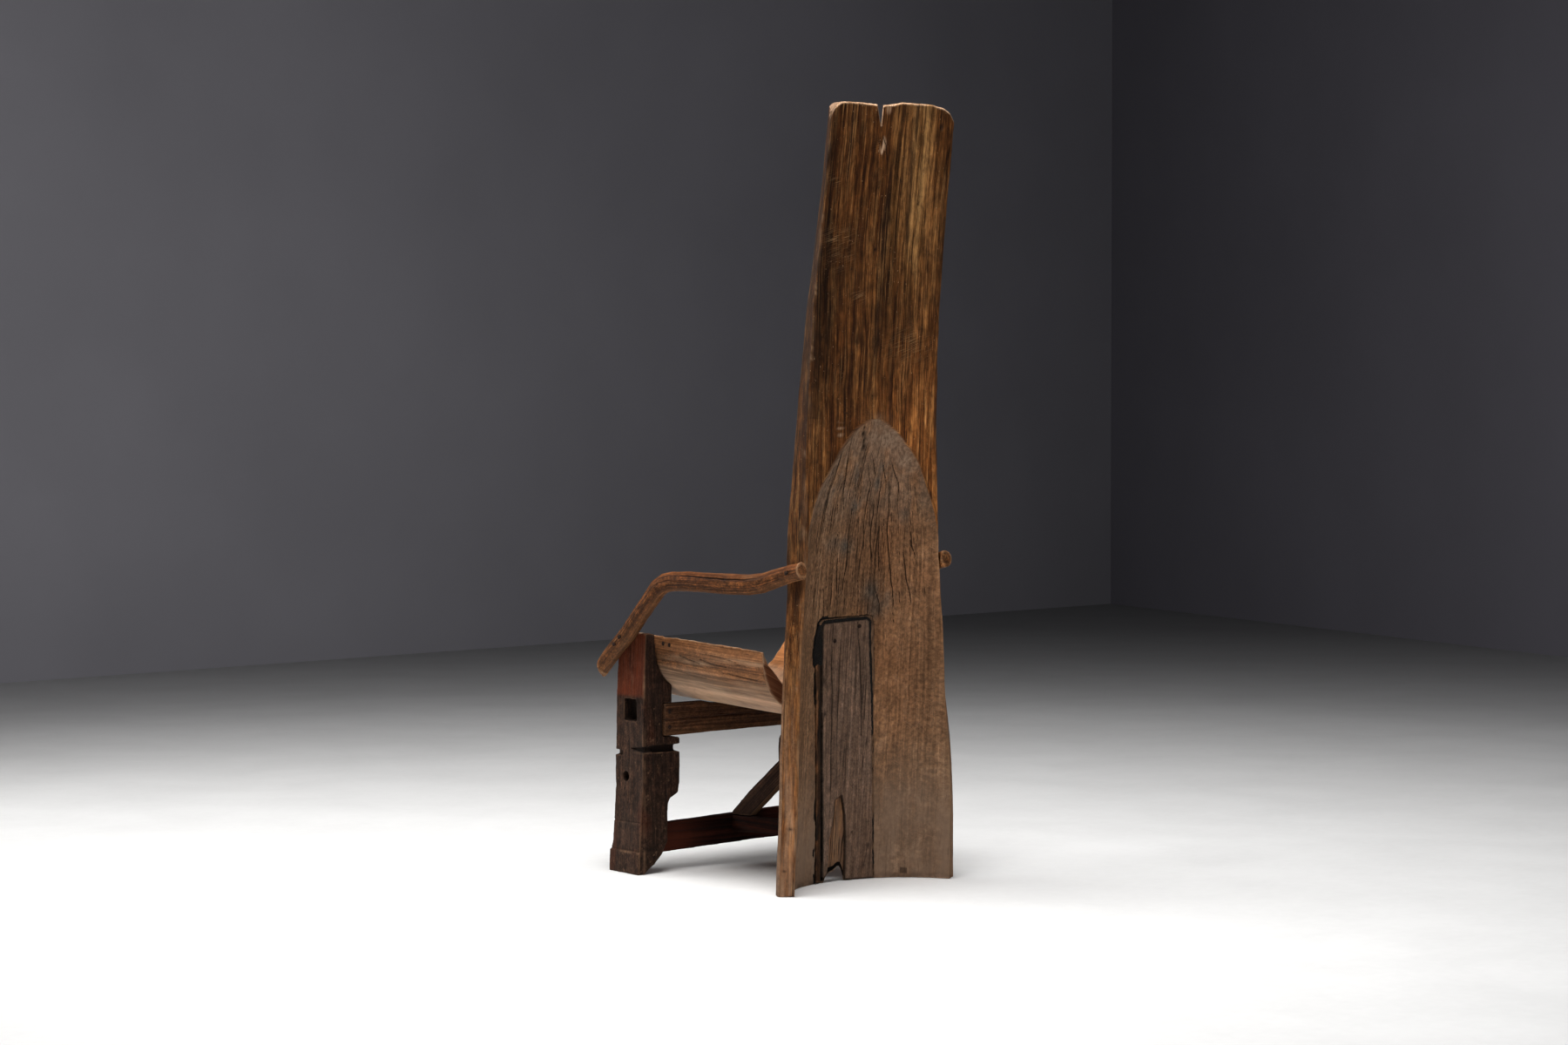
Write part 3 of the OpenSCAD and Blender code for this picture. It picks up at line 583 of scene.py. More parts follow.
MAT_PLANK = plank_material()
MAT_TAR = tar_material()
MAT_IRON = iron_material()
MAT_BOARD = wood("board_wood", (0.066, 0.040, 0.027), (0.146, 0.093, 0.065), (0.230, 0.160, 0.122),
                 wear_and_highlight=(0.16, 0.115, 0.085), tints=(("ma", (0.010, 0.0075, 0.006), 0.95, 120),
                                                  ("mb", (0.085, 0.046, 0.027), 0.9, 60)),
                 crack=0.9, crack_scale=(46, 46, 1.1), rough=(0.72, 0.92), bump=1.0, seed=21.0, hue=0.25, wear_amt=0.35,
                 fib=0.10, mottle=0.58, streak=0.38)
MAT_FILL = wood("filler_wood", (0.055, 0.024, 0.010), (0.110, 0.050, 0.022), (0.190, 0.100, 0.052),
                wear_and_highlight=(0.22, 0.14, 0.085), tints=(("ma", (0.007, 0.005, 0.004), 0.97, 90),), crack=0.5,
                rough=(0.7, 0.9), seed=25.0, wear_amt=0.4, fib=0.6, mottle=0.5)
MAT_ARM = wood("arm_wood", (0.024, 0.0082, 0.0028), (0.120, 0.046, 0.0150), (0.280, 0.128, 0.048),
               wear_and_highlight=(0.36, 0.20, 0.105), tints=(("ma", (0.122, 0.056, 0.024), 0.80, 40),
                                               ("mb", (0.009, 0.0045, 0.003), 0.92, 70),
                                               ("mc", (0.180, 0.056, 0.016), 0.75, 26)),
               streak=0.5, crack=0.5, crack_scale=(70, 70, 7), rough=(0.50, 0.80), bump=0.9, seed=5.0, wear_amt=0.75,
               fib=0.2, mottle=1.1)
MAT_LEG = wood("leg_wood", (0.0105, 0.0050, 0.0030), (0.037, 0.0182, 0.0112), (0.085, 0.046, 0.029),
               wear_and_highlight=(0.215, 0.120, 0.068), tints=(("ma", (0.150, 0.0255, 0.0060), 0.94, 34),
                                                 ("mb", (0.062, 0.043, 0.033), 0.55, 60),
                                                 ("mc", (0.0065, 0.0042, 0.0032), 0.9, 50)),
               streak=0.40, crack=0.55, crack_scale=(44, 44, 2.0), rough=(0.66, 0.90), bump=1.1, seed=13.0, hue=0.35,
               wear_amt=0.9, specks=0.4, fib=0.08, mottle=1.15)
MAT_SEAT = wood("seat_wood", (0.044, 0.0170, 0.0060), (0.150, 0.064, 0.0250), (0.320, 0.170, 0.080),
                wear_and_highlight=(0.56, 0.38, 0.240), tints=(("ma", (0.560, 0.370, 0.245), 0.85, 46),
                                                ("mb", (0.105, 0.0300, 0.0120), 0.97, 30),
                                                ("mc", (0.360, 0.140, 0.048), 0.92, 24)),
                streak=0.8, crack=0.6, crack_scale=(60, 60, 5.0), rough=(0.62, 0.88), bump=1.2, seed=8.0, wear_amt=1.0,
                fib=0.6, mottle=0.85, tc=0.50)
MAT_RAIL = wood("rail_wood", (0.0145, 0.0062, 0.0030), (0.054, 0.0235, 0.0110), (0.112, 0.058, 0.030),
                wear_and_highlight=(0.20, 0.115, 0.066), streak=0.5, crack=0.6, rough=(0.66, 0.90), seed=17.0, hue=0.4,
                tints=(("ma", (0.120, 0.058, 0.026), 0.65, 30), ("mb", (0.009, 0.005, 0.0035), 0.8, 40)), fib=0.22, mottle=0.80)
# near-black wood for the lower rail and the centre stretcher, darkened as painted shade for parts that lie in shade
# under the seat
MAT_LRAIL = wood("lower_rail_wood", (0.0042, 0.0012, 0.0006), (0.0130, 0.0030, 0.0013), (0.036, 0.0090, 0.0038),
                 wear_and_highlight=(0.085, 0.030, 0.016), streak=1.1, crack=0.5, rough=(0.66, 0.90), seed=29.0, hue=0.2,
                 tints=(("ma", (0.070, 0.0150, 0.0062), 0.85, 26),), fib=0.7, mottle=0.4)
MAT_BRACE = wood("brace_wood", (0.0105, 0.0052, 0.0032), (0.034, 0.0172, 0.0105), (0.076, 0.042, 0.026),
                 wear_and_highlight=(0.18, 0.115, 0.076), streak=0.8, crack=0.5, rough=(0.70, 0.92), seed=33.0, hue=0.3,
                 tints=(("ma", (0.120, 0.060, 0.030), 0.8, 40), ("mb", (0.0075, 0.0045, 0.0035), 0.9, 40)), fib=0.6, mottle=0.5)


# ---------------------------------------------------------------- the plank
def tab(z, t):
    return np.interp(z, [a for a, _ in t], [b for _, b in t]) / 1000.0


def x_left(z):
    return tab(z * 1000, [(0, 200), (300, 197), (450, 193), (600, 184), (670, 178), (950, 178), (1170, 179),
                          (1310, 175), (1420, 172), (1600, 172)])


def x_right(z):
    return -tab(z * 1000, [(0, 214), (90, 211), (160, 208), (235, 204), (310, 197), (380, 190), (450, 186), (520, 183),
                           (600, 176), (670, 171), (810, 168), (950, 160), (1025, 157), (1095, 153), (1170, 150),
                           (1310, 148), (1450, 150), (1600, 151)])


def y_rear(z):
    return tab(z * 1000, [(0, 0), (150, 8), (300, 12), (780, 13), (900, 17), (1000, 23), (1150, 38), (1350, 60),
                          (1600, 89)])


def side_fwd(z):
    return tab(z * 1000, [(0, 19), (300, 24), (450, 28), (520, 34), (600, 40), (670, 48), (810, 46), (880, 44),
                          (950, 42), (1100, 38), (1240, 32), (1380, 28), (1600, 25)])


def side_out(z):
    return tab(z * 1000, [(0, 23), (300, 23), (450, 18), (520, 15), (600, 12), (670, 13), (740, 10), (810, 5),
                          (880, 0), (950, -2), (1100, -6), (1240, -8), (1380, -10), (1600, -12)])


HT = 0.941


def hollow_d(z):
    return np.where(z >= HT, 0.0, 0.117 * (1 - np.exp(-np.maximum(HT - z, 0) / 0.4)) / 0.905)


APEX = 0.951


def hollow_half(z, left):
    if left:
        low = tab(z * 1000, [(700, 172), (723, 170), (768, 160), (810, 142), (850, 113), (888, 87), (910, 70), (925, 56),
                             (937, 39), (945, 22), (951, 3)])
    else:
        low = tab(z * 1000, [(700, 171), (751, 161), (794, 145), (832, 127), (866, 108), (891, 86), (908, 66), (925, 46),
                             (936, 31), (945, 14), (951, 3)])
    return np.where(z > APEX, 0.003 + 0.118 * (1 - np.exp(-np.maximum(z - APEX, 0) / 0.05)), low)


def front_d(z):
    hi = tab(z * 1000, [(1000, 50), (1100, 46), (1310, 36), (1600, 30)])
    lo = np.maximum(hollow_d(z) + 0.033, tab(z * 1000, [(800, 40), (941, 52), (1000, 50)]))
    return np.where(z > 1.0, hi, lo)


INSET = [(33, 3), (72, 531), (68, 536), (-46, 541), (-51, 536), (-52.5, 507), (-65.5, 381), (-79.5, 199), (-92.5, 3)]
FILLER = [(41, 3), (53, 3), (68.9, 209), (87.4, 450), (84, 455), (76, 453), (74.3, 448), (56.4, 209)]
RECESS = [(55, 3), (70.5, 209), (89.5, 450), (94, 456), (97.5, 480), (95, 505), (88, 530), (82, 541), (74, 545),
          (-52, 549.5), (-59, 545), (-63, 530), (-67, 470), (-73, 420), (-71, 395), (-83, 199), (-96, 3)]
INSET, FILLER, RECESS = [[(a / 1000, b / 1000) for a, b in q] for q in (INSET, FILLER, RECESS)]

# drying cracks in the hollow: weight, then points (x, z) in mm
CRACKS = [
    (1.0, [(59, 913), (58, 876), (56, 848), (53, 815), (50, 794), (43, 768)]),
    (.4, [(37, 822), (31, 789)]), (.45, [(11, 850), (6, 812), (3, 788)]),
    (.75, [(1, 869), (-8, 843), (-18, 817), (-16, 798), (-14, 769), (-14, 741), (-20, 717), (-23, 681)]),
    (.7, [(-10, 876), (-20, 852), (-30, 831)]), (.8, [(-37, 868), (-46, 845), (-55, 821)]),
    (.7, [(-44, 823), (-45, 783), (-44, 764)]),
    (1.0, [(-34, 795), (-36, 764), (-36, 733), (-37, 702), (-43, 669), (-45, 657)]),
    (.8, [(-60, 864), (-71, 842), (-83, 818), (-88, 799)]),
    (1.0, [(-56, 845), (-68, 802), (-72, 764), (-74, 728), (-79, 692), (-84, 661), (-89, 637), (-95, 608), (-98, 582),
           (-105, 524)]),
    (.75, [(-56, 733), (-59, 693), (-62, 657), (-66, 633)]),
    (1.0, [(22, 775), (20, 749), (21, 720), (21, 682), (21, 647), (23, 628), (24, 588)]),
    (.6, [(-1, 758), (-1, 729), (-7, 682)]), (.6, [(45, 728), (54, 712), (57, 690), (51, 671)]),
    (.9, [(46, 688), (45, 647), (42, 612), (40, 576)]), (.8, [(-125, 716), (-130, 687), (-136, 663)]),
    (.8, [(-111, 685), (-117, 649), (-122, 620), (-130, 591), (-134, 572)]), (.4, [(-115, 763), (-122, 732)]),
    (.55, [(83, 618), (72, 554)]), (.4, [(124, 676), (117, 638)]), (.6, [(58, 629), (53, 570)]),
    (.5, [(-12, 627), (-20, 574), (-19, 552)]), (.4, [(-39, 638), (-46, 554)]), (.5, [(-24, 648), (-31, 602)]),
    (.7, [(-53, 623), (-61, 597), (-72, 568), (-74, 537)]), (.6, [(-107, 603), (-114, 572)]),
    (.5, [(73, 785), (73, 747), (73, 719)]), (.4, [(62, 789), (60, 754)]), (.5, [(24, 841), (22, 817), (16, 798)]),
    (.4, [(-151, 610), (-153, 591)]),
]


def ztop(x, y):
    """Height of the plank's top end over a point, with its split. x and y in metres, y from the rear foot."""
    bh = 1.583
    xs = [-0.25, -.153, -.148, -.137, -.118, -.088, -.010, .043, .057, .130, .146, .155, .163, .169, .173, .25]
    zs = [1.49, 1.530, bh - .030, bh - .014, bh - .005, bh, bh - .001, bh - .011, bh - .0085, bh - .0075, bh - .009,
          bh - .014, bh - .022, bh - .034, bh - .050, 1.49]
    z = np.interp(x, xs, zs)
    z = z - 0.0012 * (1 + fbm(np.stack([x * 90, y * 60, x * 0], 1), seed=91, octaves=3))
    xp = x - 0.78 * (y - 0.087)
    v = np.interp(xp, [0.0420, 0.0455, 0.0495, 0.0612], [bh + 0.004, 1.533, 1.533, bh + 0.004], left=9, right=9)
    return np.minimum(z, np.where((xp > 0.0420) & (xp < 0.0612), v, 9))


def zbot(x, y):
    xp = x - 0.78 * (y + 0.113)
    xs = [-18.2, -18, -15.7, -11, -8, -2.5, 4, 9, 21, 33, 34, 34.2]
    zs = [0, 1, 13.5, 26, 31, 32, 28, 23, 20, 14, 1, 0]
    z = np.interp(xp * 1000, xs, zs) / 1000.0
    rag = 0.0016 * (1 + fbm(np.stack([x * 55, y * 40, x * 0], 1), seed=93, octaves=3))
    return np.maximum(z, rag * 0.6)


def build_plank():
    nl, nh, nr, ns, nf = 11, 236, 11, 7, 168
    zl = []
    z = 0.0
    while z < 1.583:
        zl.append(z)
        step = 0.0050
        if 0.905 < z < 0.9525:
            step = 0.0016
        elif z < 0.05:
            step = 0.0032
        elif z > 1.574:
            step = 0.0009
        elif z > 1.50:
            step = 0.0030
        elif z > 1.0:
            step = 0.0056
        z += step
    zl.append(1.583)
    zr = np.array(zl)
    K = len(zr)
    xl, xr, yr = x_left(zr), x_right(zr), y_rear(zr)
    # slightly wandering edges
    wob = lambda s, a, f: a * fbm(np.stack([zr * f, zr * 0, zr * 0], 1), seed=s, octaves=3)
    xl = xl - 0.0010 + wob(41, 0.0010, 22)
    xr = xr + 0.0010 + wob(42, 0.0010, 22)
    yr = yr - 0.0006 + wob(43, 0.0006, 18)
    # each edge stays inside the CAD solid's own box
    low = zr < 0.7
    cx = np.interp(zr, [0.66, 0.70, 0.941, 1.1], [0.5, 1.0, 1.0, 0.6])
    ha = np.where(low, xl - 0.0012, 0.002 + hollow_half(zr, True))
    hb = np.where(low, xr + 0.0012, 0.002 - hollow_half(zr, False))
    t = np.clip((zr - 0.64) / 0.06, 0, 1)
    t = t * t * (3 - 2 * t)
    ha = np.where(low, (xl - 0.0012) * (1 - t) + t * np.minimum(0.002 + 0.171, xl - 0.0012), np.minimum(ha, xl - 0.0012))
    hb = np.where(low, (xr + 0.0012) * (1 - t) + t * np.maximum(0.002 - 0.171, xr + 0.0012), np.maximum(hb, xr + 0.0012))
    inz = np.clip((zr - 0.72) / 0.03, 0, 1) * np.clip((0.949 - zr) / 0.012, 0, 1)
    ha = ha + inz * (wob(44, 0.0022, 42) + wob(47, 0.0018, 130) * sstep(0.86, 0.92, zr))
    hb = hb + inz * (wob(45, 0.0022, 42) + wob(48, 0.0026, 120) * sstep(0.86, 0.92, zr))
    ha, hb = np.minimum(ha, xl - 0.001), np.maximum(hb, xr + 0.001)
    # rear path
    s1 = np.linspace(0, 1, nl + 1)
    uu = np.linspace(0, 1, nh + 1)
    uu = 0.5 - 0.5 * (0.45 * np.cos(math.pi * uu) + 0.55 * (1 - 2 * uu))
    cols = []
    for k in range(nl):
        cols.append((xl + (ha - xl) * s1[k], np.zeros(K), np.zeros(K)))
    for k in range(nh + 1):
        u = 2 * uu[k] - 1
        g = max(0.0, 1 - abs(u) ** 2.6) ** 0.9
        # an uneven step of a few millimetres at the rim, then the hollow's own curve
        away = np.minimum(uu[k], 1 - uu[k]) * (ha - hb)
        ledge = (0.0032 + 0.0012 * fbm(np.stack([zr * 24, zr * 0 + u, zr * 0], 1), seed=49, octaves=2)) \
            * sstep(0.0, 0.0045, away) * sstep(0.60, 0.72, zr) * sstep(APEX, 0.944, zr)
        cols.append((ha + (hb - ha) * uu[k], hollow_d(zr) * g + ledge, np.full(K, 1.0) * (1 if 0 < k < nh else 0.5)))
    for k in range(1, nr + 1):
        cols.append((hb + (xr - hb) * (k / nr), np.zeros(K), np.zeros(K)))
    X = np.stack([c[0] for c in cols], 1)          # K x C
    D = np.stack([c[1] for c in cols], 1)
    H = np.stack([c[2] for c in cols], 1) * (zr[:, None] < APEX)
    C = X.shape[1]
    Y = yr[:, None] - D
    Z = np.repeat(zr[:, None], C, 1)
    # rounded rear arrises
    rad = 0.0032 + 0.0018 * fbm(np.stack([zr * 30, zr * 0, zr * 0], 1), seed=46, octaves=2)
    for edge in (xl, xr):
        s = np.abs(X - edge[:, None])
        drop = np.where(s < rad[:, None], rad[:, None] - np.sqrt(np.maximum(0, rad[:, None] ** 2 - (rad[:, None] - s) ** 2)), 0)
        Y = Y - drop
    # side strips, from the rear edge to the front corner
    fxl, fxr = xl + side_out(zr), xr - side_out(zr)
    fy = yr - side_fwd(zr)
    # front path: left corner to right corner
    ang = np.linspace(math.pi, 0, nf + 1)
    n = np.where(zr < 0.94, 1.6, 1.9)
    n = np.interp(zr, [0.88, 1.0], [1.6, 1.9])
    FX, FY = [], []
    fd = front_d(zr)
    ys = side_fwd(zr)
    yf = np.maximum(ys + 0.004, fd)
    for a in ang:
        c = np.abs(np.cos(a)) ** (2 / n)
        s = np.abs(np.sin(a)) ** (2 / n)
        xs = fxl if math.cos(a) < 0 else fxr
        FX.append(xs * c)
        FY.append(yr - ys - (yf - ys) * s)
    FX, FY = np.stack(FX, 1), np.stack(FY, 1)
    # ---- surface relief on the front: shallow hewing marks and grain
    P = np.stack([FX.ravel(), FY.ravel(), np.repeat(zr, nf + 1)], 1)
    inn = np.ones(nf + 1)
    inn[0] = inn[-1] = 0
    inn[1] = inn[-2] = 0.5
    d1, d2, cid = worley(P, (22, 22, 11), 51)
    rel = 0.0004 + 0.0011 * (1 - d1) + 0.0004 * (1 + fbm(P, (110, 110, 5), 52, 3))
    FY = FY + (rel.reshape(K, -1) * inn[None, :])
    # ---- relief on the rear side
    R = np.stack([X.ravel(), Y.ravel(), Z.ravel()], 1)
    xx, zz, hh = R[:, 0], R[:, 2], H.ravel()
    grain = fbm(R, (240, 0, 7), 61, 3)
    grain2 = fbm(R, (60, 0, 2.6), 62, 3)
    broad = fbm(R, (14, 0, 5), 63, 3)
    dep = 0.0003 * (1 + grain) + 0.0004 * (1 + grain2) + 0.0006 * (1 + broad)
    d1, d2, cid = worley(R * np.array([1, 0, 1]), (24, 1, 10), 64)
    hole = 0.0004 * (1 + grain) + 0.0008 * (1 + grain2) + 0.0018 * (1 + broad) + 0.0016 * (1 - d1)
    top_rough = np.exp(-((xx - 0.004) / 0.055) ** 2 - ((zz - 0.905) / 0.045) ** 2) * (hh > 0)
    hole = hole + top_rough * 0.0022 * (1 + fbm(R, (90, 0, 60), 65, 3))
    dep = np.where(hh > 0.2, 0, dep)
    hole = np.where(hh > 0.2, hole, 0)
    # the hollow's relief goes into its wall; at the rim it fades
    dist_rim = np.minimum(np.abs(X - ha[:, None]), np.abs(X - hb[:, None])).ravel()
    fade = np.clip(dist_rim / 0.006, 0, 1)
    rec = in_poly(xx, zz, RECESS) & (hh > 0.2)
    drop = dep + hole * fade * 0.55
    crk = np.zeros(len(xx))
    for w, pts in CRACKS:
        pts = [(a / 1000, b / 1000) for a, b in pts]
        m = (zz < pts[0][1] + 0.02) & (zz > pts[-1][1] - 0.02) & (hh > 0.2)
        idx = np.nonzero(m)[0]
        wig = 0.0022 * fbm(R[idx], (1, 0, 45), 66 + int(w * 10), 3)
        d, al = polyline_d(xx[idx] + wig, zz[idx], pts)
        width = 0.0014 * (0.45 + 0.75 * w) * np.sin(np.clip(al, 0.03, 0.97) * math.pi) ** 0.5
        c = np.clip(1.15 - d / np.maximum(width, 1e-5), 0, 1)
        crk[idx] = np.maximum(crk[idx], c * min(1.0, 0.55 + 0.5 * w))
    # a fan of finer drying cracks between the traced ones
    rs = np.random.RandomState(7)
    for k in range(84):
        u0 = -0.93 + 1.72 * rs.rand()
        zt = 0.62 + 0.27 * rs.rand()
        ln = 0.06 + 0.19 * rs.rand()
        zt = min(zt, 0.905 - 0.10 * abs(u0))
        zs = np.linspace(zt, zt - ln, 7)
        hh0 = np.where(u0 > 0, hollow_half(np.maximum(zs, 0.7), True), hollow_half(np.maximum(zs, 0.7), False)) / 0.171
        q = 0.80 if u0 < 0 else 0.45
        xs = 0.002 + u0 * 0.166 * (1 - q + q * hh0)
        w = 0.25 + 0.35 * rs.rand()
        m = (zz < zt + 0.01) & (zz > zt - ln - 0.01) & (hh > 0.2)
        idx = np.nonzero(m)[0]
        wig = 0.0016 * fbm(R[idx], (1, 0, 38), 600 + k, 3)
        d, al = polyline_d(xx[idx] + wig, zz[idx], list(zip(xs, zs)))
        width = 0.0011 * (0.6 + 0.6 * w) * np.sin(np.clip(al, 0.03, 0.97) * math.pi) ** 0.5
        crk[idx] = np.maximum(crk[idx], np.clip(1 - d / np.maximum(width, 1e-5), 0, 1) * (0.35 + 0.6 * w))
    # cracks and holes on the upper rear face
    feats = [(0.9, [(43, 1535), (33, 1512), (24, 1490), (19, 1462), (17, 1438)], 1.5),
             (0.55, [(46, 1522), (36, 1400), (34, 1350), (28, 1260), (23, 1180), (17, 1100), (16, 1023), (19, 953)], 0.9),
             (0.7, [(84, 990), (83, 975), (82, 954)], 2.0),
             (0.4, [(100, 1240), (97, 1120), (95, 1010)], 0.8), (0.35, [(-60, 1500), (-57, 1400), (-59, 1290)], 0.8),
             (0.35, [(-104, 1300), (-102, 1180), (-105, 1080)], 0.8), (0.4, [(140, 1180), (138, 1040), (141, 960)], 0.9),
             (0.5, [(12, 1060), (10, 1010), (16, 960)], 1.3), (0.4, [(-30, 1120), (-33, 1010), (-28, 955)], 0.9)]
    for w, pts, wd in feats:
        pts = [(a / 1000, b / 1000) for a, b in pts]
        m = (zz < pts[0][1] + 0.02) & (zz > pts[-1][1] - 0.02) & (hh < 0.2)
        idx = np.nonzero(m)[0]
        wig = 0.0018 * fbm(R[idx], (1, 0, 30), 77, 3)
        d, al = polyline_d(xx[idx] + wig, zz[idx], pts)
        width = 0.0012 * wd * np.sin(np.clip(al, 0.04, 0.97) * math.pi) ** 0.4
        crk[idx] = np.maximum(crk[idx], np.clip(1 - d / width, 0, 1) * w)
    cav = np.zeros(len(xx))
    for hx, hz, r in ((-116, 1541, 4.8), (-69, 1383, 2.0), (92, 1251, 2.2), (33, 1288, 4.5), (14, 998, 3.0), (25, 922, 5.2),
                      (20, 908, 4.0), (16, 896, 5.0), (27, 934, 2.6)):
        d = np.hypot(xx - hx / 1000 + 0.0015 * fbm(R, (120, 0, 120), 81, 2), (zz - hz / 1000) * 0.62) * 1000 / r
        cav = np.maximum(cav, np.clip(1.25 - d, 0, 1))
    drop = drop + crk * 0.0022 + cav * 0.003
    # nail of the gouge, chips
    gouge = np.exp(-((xx - 0.0300) / 0.0035) ** 2 - ((zz - 0.988) / 0.026) ** 2)
    flake = np.exp(-((xx - 0.095) / 0.0028) ** 2 - ((zz - 0.927) / 0.016) ** 2)
    chip1 = np.exp(-((xx - 0.034) / 0.0075) ** 2 - ((zz - 1.501) / 0.014) ** 2)
    chip2 = np.exp(-((xx - 0.026) / 0.0080) ** 2 - ((zz - 1.573) / 0.012) ** 2)
    drop = drop + 0.0016 * gouge + 0.0007 * flake + 0.0016 * chip1
    knot = np.zeros(len(xx))
    for kx, kz, r in ((46, 1430, 11), (64, 1104, 10), (23, 1104, 8), (33, 1288, 6), (14, 997, 8)):
        d = np.hypot(xx - kx / 1000, (zz - kz / 1000) * 0.75) * 1000 / r
        knot = np.maximum(knot, np.exp(-d * d))
    drop = drop + 0.0012 * knot * (1 + fbm(R, (160, 0, 120), 67, 3)) * 0.5
    # recess for the board
    dr = poly_d(xx, zz, RECESS)
    drop = np.where((hh > 0.2) & (dr < 0), 0.0108, drop)
    # the rear face sinks a little, unevenly, along the top end's edge
    tz0 = ztop(xx, R[:, 1])
    nz0 = np.where(zz > 1.46, 1.46 + (zz - 1.46) / (1.583 - 1.46) * (tz0 - 1.46), zz)
    worn_top = np.clip(1 - (tz0 - nz0) / 0.0042, 0, 1)
    drop = drop + (0.0034 + 0.0016 * fbm(R, (60, 0, 0), 96, 3)) * worn_top ** 2
    Yr = (Y.ravel() - drop).reshape(K, C)
    # long splinters in the broken out part
    for k, (sx, z0, z1) in enumerate(((4, 168, 30), (-1, 150, 34), (10, 120, 24), (15, 84, 22), (-12, 110, 30), (-6, 178, 60))):
        m = (dr < -0.002) & (zz < z0 / 1000) & (zz > z1 / 1000) & (hh > 0.2)
        dd = np.abs(xx - sx / 1000 + 0.0030 * fbm(R, (1, 0, 16), 820 + k, 3))
        crk = np.maximum(crk, m * np.clip(1 - dd / 0.0015, 0, 1) * 0.75)
    # ---- masks
    holm = sstep(0.15, 0.85, hh)
    edge = np.zeros((K, C))
    sL = np.abs(X - xl[:, None])
    sR = np.abs(X - xr[:, None])
    nze = 0.5 + 0.5 * fbm(R, (30, 0, 26), 68, 3).reshape(K, C)
    edge = np.exp(-(np.minimum(sL, sR) / 0.0030) ** 2) * np.clip(nze * 1.7 - 0.25, 0, 1)
    rim = np.exp(-(dist_rim.reshape(K, C) / 0.0026) ** 2) * (zr[:, None] < APEX + 0.002) * (zr[:, None] > 0.30)
    rimn = np.clip(0.5 + fbm(R, (20, 0, 18), 69, 3).reshape(K, C), 0, 1)
    rimlight = np.zeros((K, C))
    left_rim = np.exp(-((X - ha[:, None] + 0.010) / 0.013) ** 2) * (H > 0.2) * sstep(0.60, 0.70, Z) * sstep(0.93, 0.88, Z)
    layers = np.clip(0.5 + 0.9 * fbm(np.stack([(X - ha[:, None]).ravel(), zz * 0, zz], 1), (420, 0, 6), 98, 2), 0, 1).reshape(K, C)
    rimlight = 0.75 * left_rim * (0.35 + 0.65 * layers)
    right_top = np.exp(-((X - hb[:, None] - 0.012) / 0.016) ** 2) * (H > 0.2) * sstep(0.82, 0.86, Z)
    rimlight = np.maximum(rimlight, 0.5 * right_top * (0.4 + 0.6 * rimn))
    # a dark shadow line runs beside the right rim on the rear face
    rdark = np.exp(-((X - (hb[:, None] - 0.006)) / 0.0035) ** 2) * (Z > 0.71) * (Z < 0.86)
    ldark = np.exp(-((X - (xl[:, None] - 0.012)) / 0.0055) ** 2) * (Z > 0.95) * (Z < 1.42) * (0.4 + 0.6 * rimn)
    chip = np.zeros((K, C))
    chip = np.maximum(chip, np.clip(flake * 1.6 - 0.3, 0, 1).reshape(K, C) * 0.55)
    chip = np.maximum(chip, np.clip((chip1 * 1.7 - 0.3) * np.clip(0.8 + 1.1 * fbm(R, (130, 0, 90), 86, 2), 0, 1.3), 0, 1).reshape(K, C))
    chip = np.maximum(chip, np.clip(chip2 * 1.5 - 0.4, 0, 1).reshape(K, C) * 0.55)
    # a thin pale band along the top end's edge goes into 'chip': worn arris and painted highlight
    topz = ztop(xx, R[:, 1])
    newz = np.where(zz > 1.46, 1.46 + (zz - 1.46) / (1.583 - 1.46) * (topz - 1.46), zz)
    topband = sstep(0.0062, 0.0020, topz - newz).reshape(K, C)
    tb = np.clip(0.62 + 0.9 * fbm(R, (50, 0, 60), 70, 3), 0, 1).reshape(K, C)
    chip = np.maximum(chip, topband * tb * np.interp(X, [-0.16, -0.145, 0.150, 0.166], [0.35, 1.0, 1.0, 0.3]))
    scr = np.zeros((K, C))
    for gx, gz, rx, rz, a in ((128, 1306, 40, 16, 1.0), (120, 1268, 36, 22, .45), (-70, 1100, 50, 30, .8), (72, 1195, 30, 12, .6),
                              (150, 1420, 16, 12, .7), (40, 1500, 16, 14, .5)):
        scr = np.maximum(scr, a * np.exp(-((X - gx / 1000) / (rx / 1000)) ** 2 - ((Z - gz / 1000) / (rz / 1000)) ** 2))
    # a pale rough patch round the hollow's point
    rough = 0.22 * np.exp(-((X - 0.006) / 0.030) ** 2 - ((Z - 0.951) / 0.011) ** 2)
    rough = np.maximum(rough, 1.15 * np.exp(-((X + 0.040) / 0.034) ** 2 - ((Z - 0.912) / 0.026) ** 2) * (H > 0.2))
    rough = np.maximum(rough, 0.8 * np.exp(-((X + 0.006) / 0.012) ** 2 - ((Z - 0.912) / 0.022) ** 2) * (H > 0.2))
    rough = np.maximum(rough, 0.7 * np.exp(-((X + 0.088) / 0.016) ** 2 - ((Z - 0.872) / 0.030) ** 2) * (H > 0.2))
    rimlight_top = 1.25 * rough * np.clip(0.62 + 1.1 * fbm(R, (60, 0, 70), 80, 3), 0, 1).reshape(K, C)
    # pale dings down the two edges
    ding = sstep(0.62, 0.80, 0.5 + 0.5 * fbm(R, (1, 0, 55), 71, 3)).reshape(K, C)
    ding = ding * np.clip(0.4 + 1.2 * fbm(R, (1, 0, 190), 97, 2), 0, 1).reshape(K, C)
    chip = np.maximum(chip, 0.45 * ding * np.exp(-(sL / 0.0026) ** 2) * (Z > 0.35))
    chip = np.maximum(chip, 0.35 * ding * np.exp(-(sR / 0.0030) ** 2) * (Z > 0.7))
    rimlight = np.maximum(rimlight, rimlight_top)
